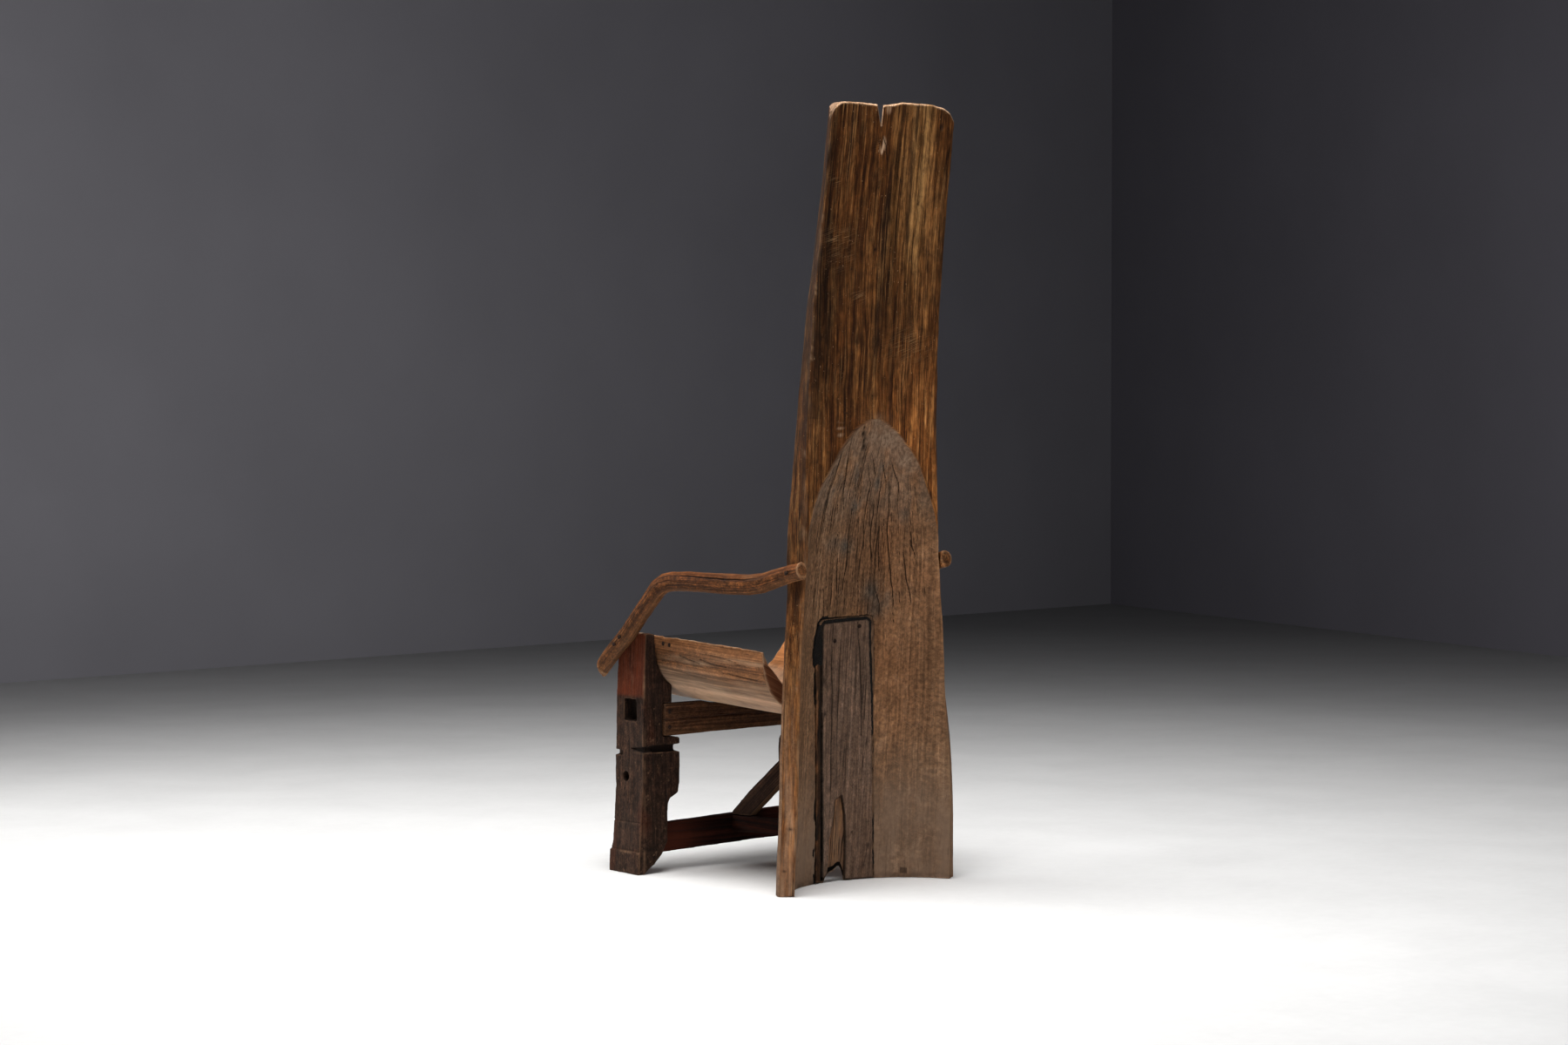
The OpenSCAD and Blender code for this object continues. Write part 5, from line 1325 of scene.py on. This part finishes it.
def build_arm(node, up, mirror, seed):
    ob, p, nr, conv, lap = remeshed(node, node + "_piece", 0.0017, 6, 0.5)
    q = p * np.array([-1, 1, 1]) if mirror else p
    gc = path_coords(q, arm_path(up))
    a1 = np.arctan2(gc[:, 1], gc[:, 0])
    s = gc[:, 2]
    L = s.max()
    cyl = np.column_stack([np.cos(a1) * 0.03, np.sin(a1) * 0.03, s])
    # flats from the drawknife, fibres, dents
    d = -0.0010 + 0.0009 * (1 + fbm(cyl, (70, 70, 7), seed, 3)) + 0.0005 * (1 + fbm(cyl, (300, 300, 14), seed + 1, 3)) \
        + 0.0008 * (1 + fbm(q, (26, 26, 26), seed + 2, 2))
    d1, d2, cid = worley(q, (38, 38, 20), seed + 3)
    d = d + 0.0009 * (1 - d1)
    knot = np.zeros(len(p))
    for ks, ka, r, dep in ((0.046, 0.9, 0.008, 0.0028), (0.030, 0.2, 0.007, 0.002), (0.062, -0.3, 0.006, 0.0018),
                           (0.205, 0.7, 0.009, 0.0016), (0.395, -0.2, 0.008, 0.0016), (0.30, 0.5, 0.006, 0.0012)):
        da = np.abs((a1 - ka + math.pi) % (2 * math.pi) - math.pi) * 0.019
        k = np.exp(-(da / r) ** 2 - ((s - ks) / r) ** 2)
        knot = np.maximum(knot, k)
        d = d + dep * k * np.clip(0.5 + fbm(q, (200, 200, 200), seed + 4, 2), 0, 1.4)
    # long bark-side grooves
    crk = np.zeros(len(p))
    for ca, cs0, cs1, w in ((0.55, 0.10, 0.33, .8), (-0.1, 0.22, 0.40, .6), (0.9, 0.36, 0.47, .8), (0.2, 0.43, 0.60, .7),
                            (1.5, 0.05, 0.28, .5), (-0.7, 0.12, 0.30, .5), (0.65, 0.50, 0.64, .5), (2.4, 0.10, 0.4, .5),
                            (-2.3, 0.15, 0.5, .5)):
        aa = a1 - ca - 0.9 * (s - cs0) + 0.14 * fbm(np.column_stack([s * 30, s * 0, s * 0]), seed=seed + 5, octaves=3)
        da = np.abs((aa + math.pi) % (2 * math.pi) - math.pi) * 0.019
        al = np.clip((s - cs0) / (cs1 - cs0), 0, 1)
        c = np.clip(1 - da / 0.0017, 0, 1) * np.sin(al * math.pi) ** 0.5 * w
        crk = np.maximum(crk, c)
    d = d + crk * 0.0016
    endd = np.minimum(s, L - s)
    near_end = sstep(0.010, 0.002, endd)
    inner = np.linalg.norm(gc[:, :2], axis=1)
    d = d * (1 - 0.5 * near_end)
    p2 = p - nr * d[:, None]
    setco(ob, p2)
    und = sstep(0.1, -0.7, nr[:, 2])
    upz = sstep(0.2, 0.9, nr[:, 2])
    isend = (np.abs(nr[:, 1]) > 0.75) & (endd < 0.012)
    ends = np.where(isend, 1.0, 0.0)
    ma = np.clip(0.75 * und * (0.5 + 0.5 * np.clip(0.5 + fbm(q, (30, 30, 12), seed + 6, 3), 0, 1)) + 0.55 * ends, 0, 1)
    mb = np.clip(knot * 1.0 + 0.45 * sstep(0.15, 0.55, fbm(cyl, (60, 60, 9), seed + 7, 3)) * (s < 0.5), 0, 1)
    if mirror:
        mb = np.maximum(mb, 0.75 * ends * (inner < 0.0135))
        ma = ma * (1 - ends)
    # painted light from above: the upward faces get a lighter orange tint ('mc')
    mc = upz * 0.8
    edge = np.clip(conv * 1.6 - 0.25, 0, 1) * 0.8
    edge = np.maximum(edge, 0.9 * np.exp(-((endd - 0.002) / 0.0025) ** 2) * (inner > 0.011))
    # pale wear on the upward faces, partly painted highlight
    edge = np.maximum(edge, 0.30 * upz * sstep(0.0, 0.5, fbm(cyl, (40, 40, 16), seed + 8, 3)))
    finish_piece(ob, [node], MAT_ARM,
                 {"gc": gc + np.array([seed * 0.1, 0, seed * 0.2]), "edge": edge, "cav": np.zeros(len(p)), "crk": crk, "ma": ma, "mb": mb, "mc": mc})


build_arm("left_arm", 0, False, 201)
build_arm("right_arm", 14.5, True, 231)


# ------------------------------------------------------------------ the legs
def build_leg(node, left, seed):
    ob, p, nr, conv, lap = remeshed(node, node + "_piece", 0.0019 if left else 0.0023, 3, 0.5)
    q = p * np.array([1 if left else -1, 1, 1])
    n = nr * np.array([1 if left else -1, 1, 1])
    x, y, z = q[:, 0], q[:, 1] - YS, q[:, 2]
    out = sstep(0.6, 0.9, n[:, 0])
    rear = sstep(0.6, 0.9, n[:, 1])
    inner = sstep(0.6, 0.9, -n[:, 0])
    d = 0.0003 + 0.0005 * (1 + fbm(q, (240, 240, 9), seed, 3)) + 0.0008 * (1 + fbm(q, (34, 34, 14), seed + 1, 3))
    # notched, chewed edges
    e = np.clip(conv * 1.4, 0, 1.5)
    chew = np.clip(fbm(q, (60, 60, 34), seed + 2, 3) + 0.15, 0, 1)
    d = d - 0.0016 + e * (0.0002 + 0.0021 * chew)
    # saw ridges on the cleaned upper outer face, running up and down
    up = out * sstep(0.372, 0.380, z) * sstep(0.51, 0.5, z)
    ridge = 0.5 + 0.5 * np.sin((y + 0.0016 * fbm(q, (1, 1, 26), seed + 3, 2)) * 2 * math.pi / 0.0062)
    d = d + up * 0.0011 * ridge
    # scattered pits
    d1, d2, cid = worley(q, (75, 75, 50), seed + 4)
    d = d + 0.0012 * np.clip(1 - d1 / 0.32, 0, 1) * (cid > 0.72)
    # hewing on the rest
    d1, d2, cid = worley(q, (30, 30, 17), seed + 5)
    d = d + 0.0008 * (1 - d1) * (1 - up)
    # scratched line above the plinth, and the plinth's own top
    band = 0.0
    for zc, w in ((0.107, 0.0012), (0.047, 0.0014)):
        zq = z + 0.0012 * fbm(q, (30, 30, 1), seed + 6, 2)
        d = d + (out + 0.12 * rear) * (0.0016 * bumpf(zq, zc + 0.0015, w) - (0.0016 if zc < 0.1 else 0.0009) * sstep(zc + 0.001, zc - 0.001, zq))
        band = np.maximum(band, bumpf(z, zc, 0.0016)) if not np.isscalar(band) else bumpf(z, zc, 0.0016)
    kerf = np.zeros(len(p))
    if left:
        # across the rear face, and tapering out along the outer face
        kc = 0.2620 + 0.0012 * fbm(q, (40, 40, 1), seed + 40, 2)
        hh = np.interp(y, [-0.480, -0.470, -0.4385], [0.0004, 0.0026, 0.0062])
        kerf = (y > -0.480) * (x > 0.170) * sstep(hh + 0.0008, hh - 0.0008, np.abs(z - kc)) * ((x > 0.24) | (y > -0.4475))
        d = d + 0.0052 * kerf
        lip = (rear + out * (y > -0.478)) * bumpf(z, 0.2540, 0.0014)
        d = d - 0.0006 * lip
    crk = np.zeros(len(p))
    for (u0, z0, z1, w, face) in ((-0.462, 0.50, 0.39, .6, "o"), (-0.487, 0.31, 0.12, .5, "o"), (-0.520, 0.22, 0.02, .5, "o"),
                                  (-0.470, 0.24, 0.03, .4, "o"), (0.215, 0.48, 0.30, .5, "r"), (0.196, 0.25, 0.12, .5, "r"),
                                  (0.232, 0.27, 0.05, .5, "r"), (0.243, 0.50, 0.33, .4, "r")):
        u = y if face == "o" else x
        f = out if face == "o" else rear
        dd = np.abs(u - u0 + 0.003 * fbm(q, (1, 1, 18), seed + 7 + int(z0 * 100), 3))
        al = np.clip((z - z1) / (z0 - z1), 0, 1)
        crk = np.maximum(crk, f * w * np.clip(1 - dd / 0.0016, 0, 1) * np.sin(al * math.pi) ** 0.4)
    d = d + crk * 0.0016
    setco(ob, p - nr * d[:, None])
    red = out * sstep(0.366, 0.378, z) * (0.75 + 0.25 * fbm(q, (30, 30, 6), seed + 8, 2))
    red = np.maximum(red, 0.35 * rear * sstep(0.30, 0.45, z) * np.clip(fbm(q, (30, 30, 5), seed + 9, 3) + .3, 0, 1))
    red = np.maximum(red, 0.30 * sstep(0.15, 0.5, fbm(q, (16, 16, 8), seed + 10, 3)))
    grey = np.clip(0.4 + 0.6 * fbm(q, (18, 18, 12), seed + 11, 3), 0, 1) * out * sstep(0.36, 0.30, z)
    grey = np.maximum(grey, 0.35 * sstep(0.11, 0.03, z) * out)
    # painted shade: the inner face, the rear face and the creases are made darker
    painted_shade = 0.8 * inner * sstep(0.0, 0.4, 0.25 + fbm(q, (14, 14, 6), seed + 12, 3))
    painted_shade = np.maximum(painted_shade, rear * 0.55)
    painted_shade = np.maximum(painted_shade, 0.9 * np.clip(-conv * 1.3 - 0.1, 0, 1))
    # painted shade, black: the inside of the mortise, the peg hole and the groove
    if left:
        mort = (y > -0.5085) & (y < -0.4635) & (z > 0.319) & (z < 0.366) & (x < 0.2535)
        hole = (np.hypot(y + 0.5, z - 0.202) < 0.0105) & (x < 0.2555)
        groove = (z > 0.2555) & (z < 0.2685) & (y < -0.4385) & (x < 0.229) & (y > -0.4455)
        painted_shade = np.where(mort | hole | groove, 1.0, painted_shade)
    edge = np.clip(conv * 1.7 - 0.25, 0, 1) * (0.35 + 0.65 * np.clip(0.5 + fbm(q, (40, 40, 25), seed + 13, 3), 0, 1))
    # painted highlight: a pale line along the plinth's top on the outer face
    edge = np.maximum(edge, (0.95 * out + 0.10 * rear) * bumpf(z, 0.0450, 0.0024) * np.clip(0.6 + fbm(q, (50, 50, 1), seed + 17, 2), 0, 1))
    edge = np.maximum(edge, 0.28 * out * bumpf(z, 0.1055, 0.0018) * np.clip(0.6 + fbm(q, (50, 50, 1), seed + 18, 2), 0, 1))
    speck = sstep(0.42, 0.62, fbm(q, (210, 210, 150), seed + 14, 3)) * 0.55
    edge = np.maximum(edge, speck * (z < 0.36))
    # the kerf's lower lip gets a pale painted highlight, and the kerf itself painted shade
    if left:
        edge = np.maximum(edge * (1 - kerf), 0.7 * lip * np.clip(0.5 + fbm(q, (60, 60, 1), seed + 41, 2), 0, 1))
        painted_shade = np.maximum(painted_shade, kerf)
    edge = np.maximum(edge, 0.9 * np.exp(-((x - 0.2535) / 0.0032) ** 2 - ((y + 0.4385) / 0.0032) ** 2) * np.clip(0.45 + 1.1 * fbm(q, (1, 1, 70), seed + 42, 3), 0, 1) * (1 - kerf))
    gc = q.copy()
    gc[:, 0] += 0.006 * fbm(q, (3, 3, 3), seed + 15, 2)
    gc[:, 1] += 0.006 * fbm(q, (3, 3, 3), seed + 16, 2)
    # 'cav' here is painted shade in the creases and in the saw kerf
    finish_piece(ob, [node], MAT_LEG,
                 {"gc": gc + np.array([0, seed * .1, 0]), "edge": edge, "cav": np.maximum(np.clip(-conv * 0.8, 0, 1) * 0.5, kerf), "crk": crk, "ma": red, "mb": grey, "mc": painted_shade})


build_leg("left_front_leg", True, 301)
build_leg("right_front_leg", False, 341)


# ------------------------------------------------------------ the seat shell
def build_seat():
    ob, p, nr, conv, lap = remeshed("seat_shell", "seat_shell_piece", 0.0026, 3, 0.5)
    x, y, z = p[:, 0], p[:, 1] - YS, p[:, 2]
    t = np.clip((-0.110 - y) / 0.43, 0, 1)
    rimz = 0.485 + 0.024 * t
    half = 0.194 + 0.042 * t
    below = rimz - z
    end = np.maximum(sstep(0.7, 0.92, np.abs(nr[:, 1])), sstep(0.22, 0.42, nr[:, 1]) * (y > -0.20))
    # which side of the wall: inside faces look up or towards the middle
    inside = np.where((nr[:, 2] > 0.12) | (nr[:, 0] * np.sign(x) < -0.25), 1.0, 0.0) * (1 - end)
    rim = np.exp(-(below / 0.006) ** 2) * (1 - end) * (nr[:, 2] > 0.3)
    gcx = np.sign(x) * np.abs(x)
    around = np.where(inside > 0.5, 0.8, 1.0) * (0.2 + (np.abs(x) - half) * 0.5 + (rimz - z) * 1.0)
    gc = np.column_stack([around * np.sign(x), 0.25 * inside + 0.15 * end, y])
    gc[:, 0] += 0.005 * fbm(np.column_stack([x, z, y]), (3, 3, 2.5), 401, 2)
    q = np.column_stack([gc[:, 0], gc[:, 1], y])
    d = -0.0010 + 0.0006 * (1 + fbm(q, (210, 10, 8), 402, 3)) + 0.0010 * (1 + fbm(q, (42, 10, 5), 403, 3))
    # adze facets: long shallow scallops, stronger inside
    d1, d2, cid = worley(q, (26, 1, 13), 404)
    d = d + (0.0010 + 0.0012 * inside) * (1 - d1)
    # worn, dented rims
    e = np.clip(conv * 1.3, 0, 1.5)
    d = d + e * (0.0009 + 0.0030 * np.clip(fbm(p, (40, 40, 40), 405, 3) + 0.1, 0, 1))
    crk = np.zeros(len(p))
    left = (x > 0) & (inside < 0.5) & (end < 0.5)
    for pts, w in (([(-0.365, 0.462), (-0.330, 0.452), (-0.300, 0.446)], 1.0), ([(-0.305, 0.457), (-0.262, 0.448), (-0.225, 0.444)], 1.0),
                   ([(-0.285, 0.470), (-0.235, 0.462), (-0.190, 0.455)], .8), ([(-0.245, 0.432), (-0.170, 0.425), (-0.122, 0.420)], 1.0),
                   ([(-0.200, 0.452), (-0.165, 0.449)], .8), ([(-0.400, 0.430), (-0.340, 0.420), (-0.290, 0.416)], .6),
                   ([(-0.350, 0.400), (-0.270, 0.394), (-0.180, 0.388)], .5), ([(-0.180, 0.478), (-0.130, 0.470)], .5)):
        dd, al = polyline_d(y, z + 0.0016 * fbm(p, (1, 40, 1), 406, 3), pts)
        c = 0.8 * w * np.clip(1.1 - dd / (0.0021 * np.sin(np.clip(al, .04, .97) * math.pi) ** .5), 0, 1)
        crk = np.maximum(crk, c * left)
    for cx, y0, y1, w in ((-0.06, -0.53, -0.30, .7), (0.03, -0.50, -0.15, .8), (0.075, -0.45, -0.2, .5), (-0.11, -0.42, -0.14, .6),
                          (0.0, -0.36, -0.12, .6)):
        dd = np.abs(x - cx + 0.005 * fbm(p, (1, 14, 1), 407 + int(cx * 1000), 3))
        al = np.clip((y - y0) / (y1 - y0), 0, 1)
        crk = np.maximum(crk, w * np.clip(1 - dd / 0.002, 0, 1) * np.sin(al * math.pi) ** .4 * (1 - end))
    # end grain checks on the two sawn ends
    ang = np.arctan2(z - 0.62, x)
    ray = np.abs(((ang * 40 + 0.7 * fbm(p, (20, 1, 20), 409, 2)) % 1.0) - 0.5)
    crk = np.maximum(crk, 0.5 * end * np.clip(1 - ray / 0.06, 0, 1) * sstep(0.0, 0.4, fbm(p, (30, 1, 30), 410, 2)))
    d = d + crk * 0.0022
    setco(ob, p - nr * d[:, None])
    floor_in = inside * sstep(0.084, 0.102, below)
    grey = np.clip(floor_in * 0.48, 0, 1)
    under = (1 - inside) * (1 - end) * sstep(-0.55, -0.85, nr[:, 2])
    front_under = sstep(-0.30, -0.40, y) * (1 - inside) * (1 - end) * sstep(0.085, 0.11, below)
    grey = np.maximum(grey, 0.9 * front_under)
    grey = np.maximum(grey, 0.95 * (1 - inside) * (1 - end) * sstep(0.045, 0.088, below + 0.018 * fbm(q, (26, 1, 6), 414, 3)))
    grey = np.maximum(grey, 0.35 * under)
    grey = np.maximum(grey, 0.25 * (1 - inside) * np.clip(fbm(q, (30, 1, 4), 411, 3) + .2, 0, 1))
    # painted shade: the rear sawn end is darker below its rim
    dark = np.clip(sstep(0.35, 0.6, np.abs(nr[:, 1])) * (y > -0.3) * sstep(0.008, 0.035, below), 0, 1)
    warm = np.clip(inside * sstep(0.104, 0.070, below) + 0.35 * (1 - inside) * (1 - end) * sstep(0.05, 0.02, below), 0, 1)
    warm = np.maximum(warm, 0.5 * (1 - inside) * (1 - end) * np.clip(fbm(q, (22, 1, 5), 412, 3), 0, 1))
    edge = np.clip(conv * 1.8 - 0.35, 0, 1)
    # painted highlight along the top of the rim, over the wear
    edge = np.maximum(edge, rim * 0.9)
    edge = np.maximum(edge, 0.30 * (1 - inside) * (1 - end) * sstep(0.10, 0.5, fbm(q, (70, 1, 6), 413, 3)))
    finish_piece(ob, ["seat_shell"], MAT_SEAT,
                 {"gc": gc, "edge": edge, "cav": np.zeros(len(p)), "crk": crk, "ma": grey, "mb": dark, "mc": warm})


build_seat()


# ------------------------------------------------------- rails and stretchers
def build_bar(node, voxel, order, mat, seed, kind=""):
    ob, p, nr, conv, lap = remeshed(node, node + "_piece", voxel, 3, 0.5)
    if kind == "brace":
        a = math.atan2(0.735, 1.0)
        yy, zz = p[:, 1] * math.cos(a) + p[:, 2] * math.sin(a), -p[:, 1] * math.sin(a) + p[:, 2] * math.cos(a)
        gc = np.column_stack([p[:, 0], zz, yy])
        n2 = np.column_stack([nr[:, 0], -nr[:, 1] * math.sin(a) + nr[:, 2] * math.cos(a), nr[:, 1] * math.cos(a) + nr[:, 2] * math.sin(a)])
    else:
        gc = p[:, order].copy()
        n2 = nr[:, order]
    d = -0.0008 + 0.0005 * (1 + fbm(gc, (230, 230, 9), seed, 3)) + 0.0009 * (1 + fbm(gc, (40, 40, 8), seed + 1, 3))
    e = np.clip(conv * 1.3, 0, 1.5)
    d = d + e * (0.0005 + 0.0026 * np.clip(fbm(gc, (60, 60, 34), seed + 2, 3) + 0.15, 0, 1))
    d1, d2, cid = worley(gc, (34, 34, 13), seed + 3)
    d = d + 0.0009 * (1 - d1)
    ma = np.zeros(len(p))
    mb = np.zeros(len(p))
    crk = np.zeros(len(p))
    if kind == "brace":
        side = sstep(0.6, 0.9, np.abs(nr[:, 0]))
        ribs = 0.5 + 0.5 * np.sin((gc[:, 2] + 0.25 * gc[:, 1] + 0.0016 * fbm(gc, (60, 60, 30), seed + 4, 2)) * 2 * math.pi / 0.0058)
        d = d + side * ribs * 0.0006
        mb = side * 0.15 * (1 - ribs)
        ma = sstep(-0.3, -0.8, n2[:, 1])
    elif kind == "upper":
        crk_y = np.abs(p[:, 2] - 0.322 + 0.004 * fbm(gc, (1, 1, 9), seed + 5, 3))
        crk = np.maximum(crk, 0.7 * np.clip(1 - crk_y / 0.0018, 0, 1) * sstep(-0.15, 0.0, p[:, 0]))
        ma = np.clip(fbm(gc, (30, 30, 4), seed + 6, 3) * 1.3, 0, 1) * 0.8
        ma = np.maximum(ma, 0.7 * sstep(-0.02, -0.10, p[:, 0]))
        mb = sstep(0.1, 0.5, fbm(gc, (22, 22, 5), seed + 7, 3)) * 0.8
    elif kind == "lower":
        # dark in the middle, lighter reddish-brown towards both ends: the ends are painted light, as lit wood beside
        # the shade under the seat
        ma = np.clip(0.15 + fbm(gc, (20, 20, 4), seed + 6, 3), 0, 1) + 0.8 * sstep(0.06, 0.16, p[:, 0]) + 0.9 * sstep(-0.05, -0.10, p[:, 0])
        ma = np.clip(ma, 0, 1)
    for k in range(5):
        u0 = (k - 2) * 0.017 + 0.004
        dd = np.abs(gc[:, 1] - np.median(gc[:, 1]) - u0 + 0.004 * fbm(gc, (1, 1, 11), seed + 20 + k, 3))
        gate = sstep(0.0, 0.3, fbm(gc * 0 + gc[:, 2:3], (9, 1, 1), seed + 30 + k, 2))
        crk = np.maximum(crk, 0.5 * np.clip(1 - dd / 0.0015, 0, 1) * gate)
    d = d + crk * 0.0014
    setco(ob, p - nr * d[:, None])
    edge = np.clip(conv * 1.7 - 0.3, 0, 1) * (0.3 + 0.7 * np.clip(0.5 + fbm(gc, (50, 50, 30), seed + 8, 3), 0, 1))
    # 'cav' here is painted shade in the concave creases
    finish_piece(ob, [node], mat, {"gc": gc + np.array([0, seed * .07, 0]), "edge": edge, "cav": np.clip(-conv, 0, 1) * 0.4, "crk": crk, "ma": ma, "mb": mb})


build_bar("upper_front_rail", 0.0019, [1, 2, 0], MAT_RAIL, 501, "upper")
build_bar("lower_front_rail", 0.0019, [1, 2, 0], MAT_LRAIL, 531, "lower")
# the stretcher takes the lower rail's near-black wood: painted shade
build_bar("centre_stretcher", 0.0015, [0, 2, 1], MAT_LRAIL, 561)
build_bar("diagonal_brace", 0.0015, [0, 2, 1], MAT_BRACE, 591, "brace")

# nails keep their CAD shape, in worn iron
for nm, ob in NODES.items():
    if nm.endswith("_nails"):
        ob.data.materials.clear()
        ob.data.materials.append(MAT_IRON)


# -------------------------------------------------------------------- stage
def stage():
    m = M("studio_floor")
    v = m.obj()
    n = m.noise(v, (3, 3, 3), 4, 0.6, 0.3)
    n2 = m.noise(v, (40, 40, 40), 4, 0.6)
    col = m.ramp(m.add(m.mul(n, 0.7), m.mul(n2, 0.3)), [(0.35, (0.80, 0.80, 0.80)), (0.6, (0.86, 0.86, 0.86))])
    # painted light falloff: the floor's colour darkens with distance from the chair towards the walls, standing in for
    # the light's own falloff
    ln = m.t.nodes.new("ShaderNodeVectorMath")
    ln.operation = "LENGTH"
    m.put(ln.inputs[0], v)
    far = m.ramp(m.rng(ln.outputs["Value"], 2.4, 8.4), [(0.0, (1.0, 1.0, 1.0)), (0.22, (0.88, 0.88, 0.88)), (0.38, (0.66, 0.66, 0.66)),
                                                        (0.66, (0.44, 0.44, 0.44)), (1.0, (0.28, 0.28, 0.28))])
    col = m.mix(1.0, col, far, "MULTIPLY")
    m.put(m.b.inputs["Base Color"], col)
    m.b.inputs["Roughness"].default_value = 0.6
    m.put(m.b.inputs["Normal"], m.bump(n2, 0.15, 0.002))
    me = bpy.data.meshes.new("floor")
    s = 14.0
    me.from_pydata([(-s, -s, 0), (s, -s, 0), (s, s, 0), (-s, s, 0)], [], [(0, 1, 2, 3)])
    fl = bpy.data.objects.new("floor", me)
    bpy.context.scene.collection.objects.link(fl)
    me.materials.append(m.m)
    # two plain grey walls far behind, meeting in a corner; the right one's darker grey is painted shade, as that wall
    # gets less light
    cam0 = Vector((3.928, 4.7395 + YS, 0))
    ta = math.radians(142)
    fwd = Vector((-math.sin(ta), math.cos(ta), 0))
    side = Vector((math.cos(ta), math.sin(ta), 0))
    place = lambda depth, lat: cam0 + fwd * depth + side * lat
    corner = place(16.6, 1.78)
    d1 = (place(11.32, -3.46) - place(16.42, 1.02)).normalized()
    d2 = (place(12.6, 3.24) - corner).normalized()
    for nm, d, c in (("left", d1, (0.325, 0.318, 0.352)), ("right", d2, (0.190, 0.183, 0.214))):
        w = M("studio_wall_" + nm)
        vz = w.obj()
        nn = w.noise(vz, (1.2, 1.2, 1.2), 3, 0.5)
        w.put(w.b.inputs["Base Color"], w.ramp(nn, [(0.3, tuple(q * 0.94 for q in c)), (0.7, tuple(q * 1.05 for q in c))]))
        w.b.inputs["Roughness"].default_value = 0.95
        a, b = corner, corner + d * 16
        me = bpy.data.meshes.new("wall_" + nm)
        me.from_pydata([tuple(a), tuple(b), (b.x, b.y, 7.0), (a.x, a.y, 7.0)], [], [(0, 1, 2, 3)])
        wl = bpy.data.objects.new("wall_" + nm, me)
        bpy.context.scene.collection.objects.link(wl)
        me.materials.append(w.m)


stage()


def light(name, loc, target, size, power, color=(1, 1, 1), size_y=None):
    d = bpy.data.lights.new(name, "AREA")
    d.energy = power
    d.color = color
    d.shape = "RECTANGLE"
    d.size = size
    d.size_y = size_y or size
    o = bpy.data.objects.new(name, d)
    bpy.context.scene.collection.objects.link(o)
    o.location = loc
    o.rotation_euler = (Vector(target) - Vector(loc)).to_track_quat("-Z", "Y").to_euler()
    return o


TA = math.radians(142)
FWD = Vector((-math.sin(TA), math.cos(TA), 0))     # the camera looks along this, level
RGT = Vector((math.cos(TA), math.sin(TA), 0))      # image right
# one large soft box overhead does most of the work; a weak one behind to the left, and a weaker fill by the camera
light("overhead", Vector((0, 0, 3.25)) - FWD * 0.75 - RGT * 0.3, (0.0, 0.0, 0.0), 1.9, 170, (1.0, 0.99, 0.975), 1.9)
light("left", Vector((0, 0, 1.9)) - RGT * 3.0 + FWD * 0.7, (0, 0, 0.8), 1.4, 34, (1.0, 0.99, 0.97), 1.4)
light("fill", Vector((0, 0, 2.0)) + RGT * 1.6 - FWD * 4.2, (0, 0, 0.9), 2.2, 26, (0.98, 0.99, 1.0), 1.6)

world = bpy.data.worlds.new("studio")
bpy.context.scene.world = world
world.use_nodes = True
bg = world.node_tree.nodes.get("Background") or world.node_tree.nodes.new("ShaderNodeBackground")
bg.inputs["Color"].default_value = (0.93, 0.95, 1.0, 1)
bg.inputs["Strength"].default_value = 0.05
bpy.context.scene.view_settings.view_transform = "Standard"

cam = bpy.data.cameras.new("camera")
cam.lens = 70.0
cam.sensor_width = 36.0
cam.sensor_fit = "HORIZONTAL"
co = bpy.data.objects.new("camera", cam)
bpy.context.scene.collection.objects.link(co)
co.location = (3.928, 4.7395 + YS, 0.9178)
co.rotation_euler = (math.radians(90) - math.atan(100 / 3500), 0, math.radians(142))
bpy.context.scene.camera = co
